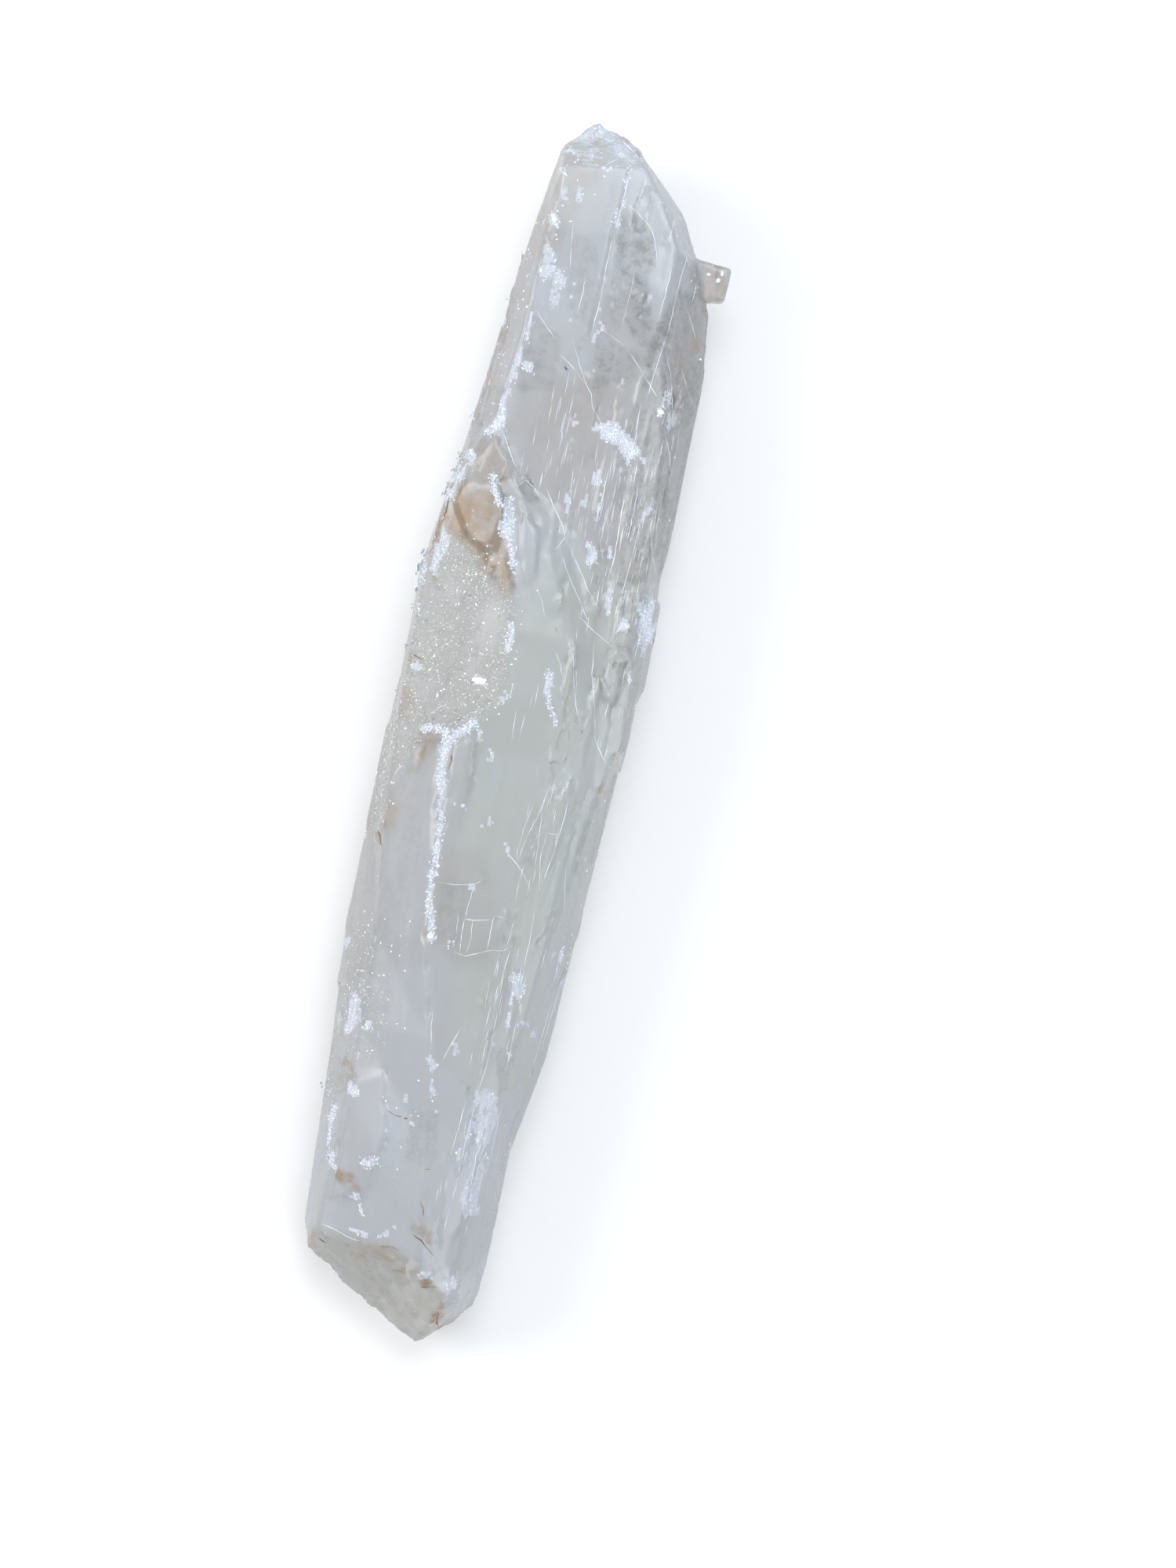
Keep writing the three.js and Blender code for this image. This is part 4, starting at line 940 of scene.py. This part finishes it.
def selenite_material(groups):
    """Clouded gypsum, tinted, stained and dusted where its masks say."""
    material, w, shader, place = new_material("clouded_selenite")
    grain = w.group(groups["fibre"], Place=place, Fineness=1.0, Threads=0.45)
    cloud = w.group(groups["cloud"], Place=place, Size=1.0)
    powder = w.group(groups["powder"], Place=place, Patch=w.painted("powder"), Grain=0.7)
    crush = w.group(groups["powder"], Place=place, Patch=w.scaled(w.painted("crushed"), 1.5), Grain=1.4)
    rubbed = w.group(groups["powder"], Place=place, Patch=w.scaled(w.painted("edge"), 0.45), Grain=1.2)
    colour = NEUTRAL
    for mask, share, tint in TINTS:
        colour = w.mix(w.scaled(w.painted(mask), share), colour, tint)
    # Dark and pale mottle over the clear windows and the painted shade
    mottle = w.noise(place, 420.0, 5.0, 0.75)
    dark = w.math("MULTIPLY", w.ramp(mottle, 0.54, 0.4), w.painted("window"))
    colour = w.mix(w.scaled(dark, 0.7), colour, DEEP)
    colour = w.mix(w.scaled(cloud.outputs["Cloud"], 0.35), colour, MILK)
    colour = w.mix(w.scaled(w.painted("sugar"), 0.7), colour, SUGARY)
    rust = w.ramp(w.noise(place, 300.0, 4.0, 0.7), 0.3, 0.62)
    rusty = w.math("ADD", 0.35, w.scaled(rust, 0.5))
    colour = w.mix(w.math("MULTIPLY", w.painted("stain"), rusty), colour, OCHRE)
    colour = w.mix(w.scaled(cloud.outputs["Wisp"], 0.2), colour, WARM_GREY)
    fibrous = w.math("ADD", 0.08, w.scaled(w.painted("dashes"), 0.4))
    colour = w.mix(w.math("MULTIPLY", grain.outputs["Mask"], fibrous), colour, CHALK)
    lit = w.math("MULTIPLY", w.ramp(mottle, 0.58, 0.66), w.painted("window"))
    colour = w.mix(w.scaled(lit, 0.35), colour, CHALK)
    white = w.math("MAXIMUM", crush.outputs["Mask"], rubbed.outputs["Mask"])
    white = w.math("MAXIMUM", powder.outputs["Mask"], white)
    colour = w.mix(w.scaled(white, 0.85), colour, CHALK)
    w.join(colour, shader.inputs["Base Color"])
    rough = w.math("ADD", 0.22, w.scaled(cloud.outputs["Cloud"], 0.1))
    dull = w.scaled(w.math("MAXIMUM", white, w.painted("sugar")), 0.3)
    w.join(w.math("ADD", rough, dull, clamp=True), shader.inputs["Roughness"])
    shader.inputs["IOR"].default_value = GYPSUM_INDEX
    shader.inputs["Transmission Weight"].default_value = BODY_CLARITY
    height = w.math("ADD", w.scaled(grain.outputs["Height"], 0.3), w.scaled(white, 0.25))
    sugary = w.math("MULTIPLY", w.noise(place, 1300.0, 2.0), w.painted("sugar"))
    height = w.math("ADD", height, w.scaled(sugary, 1.2))
    w.join(w.bump(height, 0.25 * MM), shader.inputs["Normal"])
    absorb(w, DEPTH_TINT, DEPTH_DENSITY)
    return material


def frosted_material(groups):
    """Frosted gypsum, which lets no light in."""
    material, w, shader, place = new_material("frosted_selenite")
    grain = w.group(groups["fibre"], Place=place, Fineness=0.8, Threads=1.2)
    speck = w.noise(place, 1100.0, 4.0, 0.7)
    colour = w.mix(w.ramp(speck, 0.35, 0.65), FROST_SHADE, FROST_WHITE)
    colour = w.mix(w.scaled(grain.outputs["Mask"], 0.15), colour, CHALK)
    colour = w.mix(w.scaled(w.ramp(w.painted("powder"), 0.7, 1.5), 0.15), colour, CHALK)
    w.join(colour, shader.inputs["Base Color"])
    w.join(w.ramp(speck, 0.0, 1.0, 0.35, 0.6), shader.inputs["Roughness"])
    height = w.math("ADD", w.scaled(grain.outputs["Height"], 0.4), speck)
    w.join(w.bump(height, 0.2 * MM), shader.inputs["Normal"])
    return material


def splinter_material(groups):
    """Thin cleavage splits: white where light is caught in them."""
    material, w, shader, place = new_material("cleavage_split")
    cloud = w.group(groups["cloud"], Place=place, Size=0.3)
    w.join(w.mix(cloud.outputs["Cloud"], SPLIT_DULL, SPLIT_WHITE), shader.inputs["Base Color"])
    w.join(w.ramp(cloud.outputs["Wisp"], 0.0, 1.0, 0.25, 0.45), shader.inputs["Roughness"])
    return material


def grain_material(groups):
    """Sugar grains: small clear crystals, a share of them painted white as glints."""
    material, w, shader, place = new_material("sugar_grain")
    cloud = w.group(groups["cloud"], Place=place, Size=0.6)
    spark = w.painted("spark")
    colour = w.mix(cloud.outputs["Cloud"], GRAIN_DULL, GRAIN_PALE)
    # Painted glint: the grains with the highest spark are made white
    colour = w.mix(w.ramp(spark, 0.8, 0.95), colour, GLINT_WHITE)
    w.join(colour, shader.inputs["Base Color"])
    w.join(w.ramp(spark, 0.0, 1.0, 0.35, 0.15), shader.inputs["Roughness"])
    shader.inputs["IOR"].default_value = GYPSUM_INDEX
    shader.inputs["Transmission Weight"].default_value = GRAIN_CLARITY
    return material


def flake_material(groups):
    """Loose white flakes, which also serve as painted glints."""
    material, w, shader, place = new_material("white_flake_and_glint")
    cloud = w.group(groups["cloud"], Place=place, Size=0.5)
    w.join(w.mix(cloud.outputs["Cloud"], FLAKE_DULL, GLINT_WHITE), shader.inputs["Base Color"])
    w.join(w.ramp(w.painted("spark"), 0.0, 1.0, 0.3, 0.1), shader.inputs["Roughness"])
    return material


def crushed_material(groups):
    """Crushed crystal: chalk white, with a little blue in the thin parts."""
    material, w, shader, place = new_material("crushed_gypsum")
    powder = w.group(groups["powder"], Place=place, Patch=1.0, Grain=0.5)
    w.join(w.mix(powder.outputs["Mask"], CRUSHED_BLUE, CRUSHED_WHITE), shader.inputs["Base Color"])
    w.join(w.ramp(powder.outputs["Height"], 0.0, 1.0, 0.75, 0.5), shader.inputs["Roughness"])
    w.join(w.bump(powder.outputs["Height"], 0.15 * MM), shader.inputs["Normal"])
    return material


def crack_material(groups):
    """Dirt held in the cracks: dark brown."""
    material, w, shader, place = new_material("dirt_in_cracks")
    cloud = w.group(groups["cloud"], Place=place, Size=0.3)
    w.join(w.mix(cloud.outputs["Cloud"], DIRT_DARK, DIRT_PALE), shader.inputs["Base Color"])
    w.join(w.ramp(cloud.outputs["Wisp"], 0.0, 1.0, 0.7, 0.9), shader.inputs["Roughness"])
    return material


# Shapes that are strewn over the body

def shape_object(name, points, faces):
    """A shape that is only copied, so it stands in no collection."""
    mesh = bpy.data.meshes.new(name)
    mesh.from_pydata(np.asarray(points, float).tolist(), [], faces)
    mesh.update()
    return bpy.data.objects.new(name, mesh)


def octahedron(name, half, seed=None):
    """Six corners at the given half sizes; a seed makes it an angular crumb."""
    points = np.array([[1, 0, 0], [-1, 0, 0], [0, 1, 0], [0, -1, 0], [0, 0, 1], [0, 0, -1]], float)
    if seed is not None:
        rng = np.random.default_rng(seed)
        points = points * rng.uniform(0.6, 1.1, (6, 1)) + rng.uniform(-0.2, 0.2, (6, 3))
    faces = [[0, 2, 4], [2, 1, 4], [1, 3, 4], [3, 0, 4], [2, 0, 5], [1, 2, 5], [3, 1, 5], [0, 3, 5]]
    return shape_object(name, points * half, faces)


def slab_shape(name, width, length, height):
    """A flat six-sided flake with a slanting top."""
    outline = np.array([[-0.5, -0.2], [-0.1, -0.5], [0.4, -0.34], [0.5, 0.24], [0.05, 0.5], [-0.42, 0.3]])
    sides = len(outline)
    flat = outline * [width, length]
    top = np.column_stack([flat, height * (0.7 + 0.6 * outline[:, 0])])
    points = np.vstack([np.column_stack([flat, np.full(sides, -height)]), top])
    faces = [list(range(sides))[::-1], list(range(sides, 2 * sides))]
    faces += [[i, (i + 1) % sides, sides + (i + 1) % sides, sides + i] for i in range(sides)]
    return shape_object(name, points, faces)


# What grows or lies on the body, by geometry nodes

def give_finish(w, pieces, given, result):
    """Makes the pieces real and hands them out in their finish."""
    real = w.node("GeometryNodeRealizeInstances", {0: pieces})
    finish = {"Geometry": real.outputs[0], "Material": given.outputs["Finish"]}
    w.join(w.node("GeometryNodeSetMaterial", finish).outputs[0], result.inputs["Pieces"])


def scatter_tree():
    """Shapes strewn over the faces that carry a painted mask, in line with the crystal."""
    tree, given, result = new_group(
        "strewn_on_faces",
        [
            ("Body", "NodeSocketGeometry", None),
            ("Shape", "NodeSocketObject", None),
            ("Mask", "NodeSocketString", ""),
            ("Per Square Metre", "NodeSocketFloat", 1e6),
            ("Smallest", "NodeSocketFloat", 0.5),
            ("Largest", "NodeSocketFloat", 1.0),
            ("Longest", "NodeSocketFloat", 1.0),
            ("Turn", "NodeSocketFloat", 0.1),
            ("Tilt", "NodeSocketFloat", 0.1),
            ("Sink", "NodeSocketFloat", 0.0),
            ("Seed", "NodeSocketInt", 0),
            ("Finish", "NodeSocketMaterial", None),
        ],
        [("Pieces", "NodeSocketGeometry")],
        "GeometryNodeTree",
    )
    w = Wiring(tree)
    take = given.outputs

    def random_between(low, high, salt):
        """A random number for each point."""
        inputs = {2: low, 3: high, "Seed": w.math("ADD", take["Seed"], float(salt))}
        return w.node("FunctionNodeRandomValue", inputs, data_type="FLOAT").outputs[1]

    mask = w.node("GeometryNodeInputNamedAttribute", {"Name": take["Mask"]}, data_type="FLOAT")
    density = w.math("MULTIPLY", mask.outputs[0], take["Per Square Metre"])
    strewn = w.node(
        "GeometryNodeDistributePointsOnFaces",
        {"Mesh": take["Body"], "Density": density, "Seed": take["Seed"]},
        distribute_method="RANDOM",
    )
    normal = strewn.outputs["Normal"]
    outward = w.node("FunctionNodeAlignRotationToVector", {"Vector": normal}, axis="Z")
    lengthwise = w.node(
        "FunctionNodeAlignRotationToVector",
        {"Rotation": outward.outputs[0], "Vector": (0, 1, 0)},
        axis="Y",
        pivot_axis="Z",
    )
    wobble = {
        axis: random_between(w.scaled(take[reach], -1.0), take[reach], salt)
        for axis, reach, salt in (("X", "Tilt", 11), ("Y", "Tilt", 12), ("Z", "Turn", 13))
    }
    angles = w.node("ShaderNodeCombineXYZ", wobble)
    turn = w.node("FunctionNodeEulerToRotation", {0: angles.outputs[0]})
    turned = w.node(
        "FunctionNodeRotateRotation",
        {"Rotation": lengthwise.outputs[0], "Rotate By": turn.outputs[0]},
        rotation_space="LOCAL",
    )
    size = random_between(take["Smallest"], take["Largest"], 14)
    long = w.math("MULTIPLY", size, random_between(1.0, take["Longest"], 15))
    scale = w.node("ShaderNodeCombineXYZ", {"X": size, "Y": long, "Z": size})
    shape = w.node("GeometryNodeObjectInfo", {"Object": take["Shape"]})
    push = w.vector_scaled(normal, w.scaled(take["Sink"], -1.0))
    sunk = w.node("GeometryNodeSetPosition", {"Geometry": strewn.outputs["Points"], "Offset": push})
    placed = w.node("GeometryNodeInstanceOnPoints", {
        "Points": sunk.outputs[0],
        "Instance": shape.outputs["Geometry"],
        "Rotation": turned.outputs[0],
        "Scale": scale.outputs[0],
    })
    spark = w.node(
        "GeometryNodeStoreNamedAttribute",
        {"Geometry": placed.outputs[0], "Name": "spark", "Value": random_between(0.0, 1.0, 16)},
        data_type="FLOAT",
        domain="INSTANCE",
    )
    give_finish(w, spark.outputs[0], given, result)
    return tree


SIGHT_REACH = 3.0  # rays from the eye end past the floor
RIDGE_STEP = 0.5 * MM
THINNEST_RIDGE = 0.02 * MM


def vein_tree():
    """Thin ridges along paths, thrown from the eye onto the body."""
    tree, given, result = new_group(
        "ridges_along_paths",
        [
            ("Paths", "NodeSocketGeometry", None),
            ("Body", "NodeSocketObject", None),
            ("Eye", "NodeSocketVector", None),
            ("Step", "NodeSocketFloat", RIDGE_STEP),
            ("Wander", "NodeSocketFloat", 0.2 * MM),
            ("Broken", "NodeSocketFloat", 0.5),
            ("Finish", "NodeSocketMaterial", None),
        ],
        [("Pieces", "NodeSocketGeometry")],
        "GeometryNodeTree",
    )
    w = Wiring(tree)
    take = given.outputs
    path = {"Curve": take["Paths"], "Length": take["Step"]}
    steps = w.node("GeometryNodeResampleCurve", path, mode="LENGTH")
    place = w.node("GeometryNodeInputPosition").outputs[0]
    jitter = w.node("ShaderNodeTexNoise", {"Vector": place, "Scale": 420.0, "Detail": 3.0})
    centred = w.vector_math("SUBTRACT", jitter.outputs["Color"], (0.5, 0.5, 0.5))
    wander = w.vector_scaled(centred, w.scaled(take["Wander"], 4.0))
    moved = w.node("GeometryNodeSetPosition", {"Geometry": steps.outputs[0], "Offset": wander})
    body = w.node("GeometryNodeObjectInfo", {"Object": take["Body"]})
    ray = w.node("GeometryNodeRaycast", {
        "Target Geometry": body.outputs["Geometry"],
        "Source Position": take["Eye"],
        "Ray Direction": w.vector_math("SUBTRACT", place, take["Eye"]),
        "Ray Length": SIGHT_REACH,
    })
    missed = w.node("FunctionNodeBooleanMath", {0: ray.outputs["Is Hit"]}, operation="NOT")
    seen = w.node(
        "GeometryNodeDeleteGeometry",
        {"Geometry": moved.outputs[0], "Selection": missed.outputs[0]},
        domain="POINT",
    )
    landed = w.node(
        "GeometryNodeSetPosition", {"Geometry": seen.outputs[0], "Position": ray.outputs["Hit Position"]})
    share = w.node("GeometryNodeSplineParameter").outputs["Factor"]
    taper = w.math("MULTIPLY", w.ramp(share, 0.0, 0.18), w.ramp(share, 1.0, 0.8))
    thinnest = w.math("SUBTRACT", 1.0, take["Broken"])
    gap = w.ramp(w.noise(place, 260.0, 2.0), 0.35, 0.6, thinnest, 1.0)
    radius = w.node("GeometryNodeInputRadius").outputs[0]
    thick = w.math("MULTIPLY", w.math("MULTIPLY", taper, gap), radius)
    profile = w.node("GeometryNodeCurvePrimitiveCircle", {"Resolution": 5, "Radius": 1.0})
    tube = w.node("GeometryNodeCurveToMesh", {
        "Curve": landed.outputs[0],
        "Profile Curve": profile.outputs[0],
        "Scale": w.math("MAXIMUM", thick, THINNEST_RIDGE),
        "Fill Caps": True,
    })
    give_finish(w, tube.outputs[0], given, result)
    return tree


def outermost(tree, x, y):
    """The place on the body that is seen at (x, y), or on its rim where none is seen there."""
    eye = Vector(EYE)
    place, normal, _, _ = tree.ray_cast(eye, Vector((x, y, MIDDLE_HEIGHT)) - eye)
    if place is not None:
        return place, normal
    side = math.copysign(1, x)
    found = []
    for height in RIM_HEIGHTS:
        place, normal, _, _ = tree.ray_cast(Vector((side, y, height)), Vector((-side, 0, 0)))
        if place is not None:
            found.append((side * place.x, place, normal))
    _, place, normal = max(found, key=lambda one: one[0])
    return Vector(((place.x + x) / 2, y, place.z)), Vector((0, 0, 1))


def laid(name, shape, marks, body, height, seed, crowd=1):
    """A crowd of a shape laid on the body at each marked place, all as one piece."""
    rng = np.random.default_rng(seed)
    tree = BVHTree.FromObject(body, bpy.context.evaluated_depsgraph_get())
    corners = vectors(shape.data.vertices, "co")
    corners = corners / np.ptp(corners, axis=0)
    outline = [list(face.vertices) for face in shape.data.polygons]
    points, faces = [], []
    for x, y, width, length in marks:
        place, normal = outermost(tree, x * MM, y * MM)
        turn = np.array(Vector((0, 0, 1)).rotation_difference(normal).to_matrix())
        size = np.array([width * MM, length * MM, height])
        for _ in range(crowd):
            grown = corners * size / crowd**0.5 * rng.uniform(0.8, 1.2, corners.shape)
            aside = size * rng.uniform(-0.5, 0.5, 3) * (1 - 1 / crowd)
            faces += [[i + len(points) for i in face] for face in outline]
            points += list((grown + aside) @ turn.T + np.array(place))
    return mesh_object(name, points, faces)


def path_curves(name, marks):
    """Curves at the crystal's middle height, with each path's half width as its radius."""
    curve = bpy.data.curves.new(name, "CURVE")
    curve.dimensions = "3D"
    for width, path in marks:
        spline = curve.splines.new("POLY")
        spline.points.add(len(path) - 1)
        for point, (x, y) in zip(spline.points, path):
            point.co = (x * MM, y * MM, MIDDLE_HEIGHT, 1)
            point.radius = width / 2 * MM
    return curve


def made_by(tree, name, data, **values):
    """Runs a node tree on some data and keeps the result as a piece with a plain mesh."""
    carrier = bpy.data.objects.new(name + "_carrier", data)
    bpy.context.scene.collection.objects.link(carrier)
    modifier = carrier.modifiers.new("made", "NODES")
    modifier.node_group = tree
    for item in tree.interface.items_tree:
        if item.in_out == "INPUT" and item.name in values:
            modifier[item.identifier] = values[item.name]
    mesh = evaluated(carrier)
    bpy.data.objects.remove(carrier)
    mesh.name = name
    piece = bpy.data.objects.new(name, mesh)
    bpy.context.scene.collection.objects.link(piece)
    return piece


def keep_in_box(piece):
    """Moves the few points that stand out of the solid's box back into it."""
    low, high = np.array(CAD_BOX)
    mesh = piece.data
    kept = np.clip(vectors(mesh.vertices, "co"), low, high)
    mesh.vertices.foreach_set("co", kept.reshape(-1))
    mesh.update()


# Surroundings

FLOOR_HALF = 3.0
FLOOR_DULL = (0.86, 0.86, 0.86, 1)
FLOOR_PALE = (0.88, 0.88, 0.88, 1)
# Round lights that shine at the crystal, each (name, place, width, power, colour)
LIGHTS = [
    ("sky_above", (0.1, 0.75, 1.25), 0.9, 9, (0.86, 0.92, 1.0)),
    ("soft_left", (-1.0, 0.1, 0.8), 0.7, 7, (1.0, 0.98, 0.95)),
    ("fill_right", (0.9, -0.5, 0.9), 0.8, 4, (0.95, 0.97, 1.0)),
]
ROOM_COLOUR = (0.95, 0.97, 1.0, 1)
ROOM_STRENGTH = 0.72


def make_floor():
    corners = [[FLOOR_HALF * x, FLOOR_HALF * y, 0] for x, y in ((-1, -1), (1, -1), (1, 1), (-1, 1))]
    floor = mesh_object("floor", corners, [[0, 1, 2, 3]])
    material, w, shader, place = new_material("pale_floor")
    w.join(w.mix(w.noise(place, 6.0), FLOOR_DULL, FLOOR_PALE), shader.inputs["Base Color"])
    shader.inputs["Roughness"].default_value = 0.7
    floor.data.materials.append(material)


def make_lights():
    for name, place, width, power, colour in LIGHTS:
        light = bpy.data.lights.new(name, "AREA")
        light.shape = "DISK"
        light.size = width
        light.energy = power
        light.color = colour
        lamp = bpy.data.objects.new(name, light)
        lamp.location = place
        lamp.rotation_euler = (-Vector(place)).to_track_quat("-Z", "Y").to_euler()
        bpy.context.scene.collection.objects.link(lamp)
    world = bpy.data.worlds.new("soft_room")
    bpy.context.scene.world = world
    world.use_nodes = True
    background = world.node_tree.nodes["Background"]
    background.inputs["Color"].default_value = ROOM_COLOUR
    background.inputs["Strength"].default_value = ROOM_STRENGTH


def make_camera():
    camera = bpy.data.cameras.new("camera")
    camera.sensor_width = SENSOR
    camera.lens = SENSOR * VIEW_HEIGHT / VIEW_LENGTH
    eye = bpy.data.objects.new("camera", camera)
    eye.location = EYE
    eye.rotation_euler = (0, 0, VIEW_TURN)
    bpy.context.scene.collection.objects.link(eye)
    bpy.context.scene.camera = eye


def grow_pieces(body, groups):
    """All that stands on the body, each kind as one piece."""
    strew, ridge = scatter_tree(), vein_tree()
    chalk, grain, split = crushed_material(groups), grain_material(groups), splinter_material(groups)
    flake = flake_material(groups)
    kinds = [
        ("sugar_grains", octahedron("grain", np.array([0.2, 0.32, 0.26]) * MM), "sugar", {
            "Per Square Metre": 2.4e6, "Smallest": 0.4, "Largest": 1.3, "Longest": 1.5,
            "Turn": 3.1, "Tilt": 0.5, "Sink": 0.08 * MM, "Seed": 3, "Finish": grain}),
        ("cleavage_dashes", octahedron("dash", np.array([0.06, 2.1, 0.06]) * MM), "dashes", {
            "Per Square Metre": 2.2e5, "Smallest": 0.6, "Largest": 1.5, "Longest": 1.7,
            "Turn": 0.05, "Tilt": 0.02, "Sink": 0.0, "Seed": 8, "Finish": split}),
        ("crushed_crumbs", octahedron("crumb", 0.42 * MM, seed=5), "crushed", {
            "Per Square Metre": 6e6, "Smallest": 0.35, "Largest": 1.1, "Longest": 1.4,
            "Turn": 3.1, "Tilt": 3.1, "Sink": 0.12 * MM, "Seed": 5, "Finish": chalk}),
        ("powder_crumbs", slab_shape("fine crumb", 0.32 * MM, 0.5 * MM, 0.08 * MM), "chalky", {
            "Per Square Metre": 5e6, "Smallest": 0.4, "Largest": 1.2, "Longest": 1.8,
            "Turn": 0.8, "Tilt": 0.5, "Sink": 0.0, "Seed": 15, "Finish": chalk}),
        # White flakes as painted glints
        ("bright_flakes", slab_shape("flake", 0.26 * MM, 0.5 * MM, 0.08 * MM), "glint_flakes_mask", {
            "Per Square Metre": 2.2e5, "Smallest": 0.4, "Largest": 1.3, "Longest": 1.3,
            "Turn": 3.1, "Tilt": 0.3, "Sink": 0.0, "Seed": 12, "Finish": flake}),
    ]
    pieces = [
        laid("rim_crystals", octahedron("lump", 1.0, seed=9), LUMPS, body, 3 * MM, seed=4, crowd=6),
        laid("white_flakes", slab_shape("white", 1.0, 1.0, 1.0), WHITE_FLAKES, body, 0.5 * MM, seed=6),
    ]
    pieces[0].data.materials.append(chalk)
    pieces[1].data.materials.append(flake)
    for name, shape, mask, values in kinds:
        pieces.append(made_by(strew, name, body.data, Shape=shape, Mask=mask, **values))
    for name, marks, values in (
        ("cleavage_splits", SPLITS, {"Wander": 0.12 * MM, "Broken": 0.7, "Finish": split}),
        ("dirty_cracks", CRACKS, {"Wander": 0.3 * MM, "Broken": 0.6, "Finish": crack_material(groups)}),
    ):
        paths = path_curves(name, marks)
        pieces.append(made_by(ridge, name, paths, Body=body, Eye=EYE, Step=RIDGE_STEP, **values))
    return pieces


def main():
    make_camera()
    make_lights()
    make_floor()
    bpy.context.scene.view_settings.view_transform = "Standard"
    groups = {"fibre": fibre_grain(), "cloud": cloudiness(), "powder": powder_grain()}
    body = make_body()
    body.data.materials.append(selenite_material(groups))
    body.data.materials.append(frosted_material(groups))
    frosted_faces(body.data)
    pieces = [body, *grow_pieces(body, groups)]
    for piece in pieces:
        keep_in_box(piece)
        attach(piece, "root")
    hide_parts(NODE)


main()
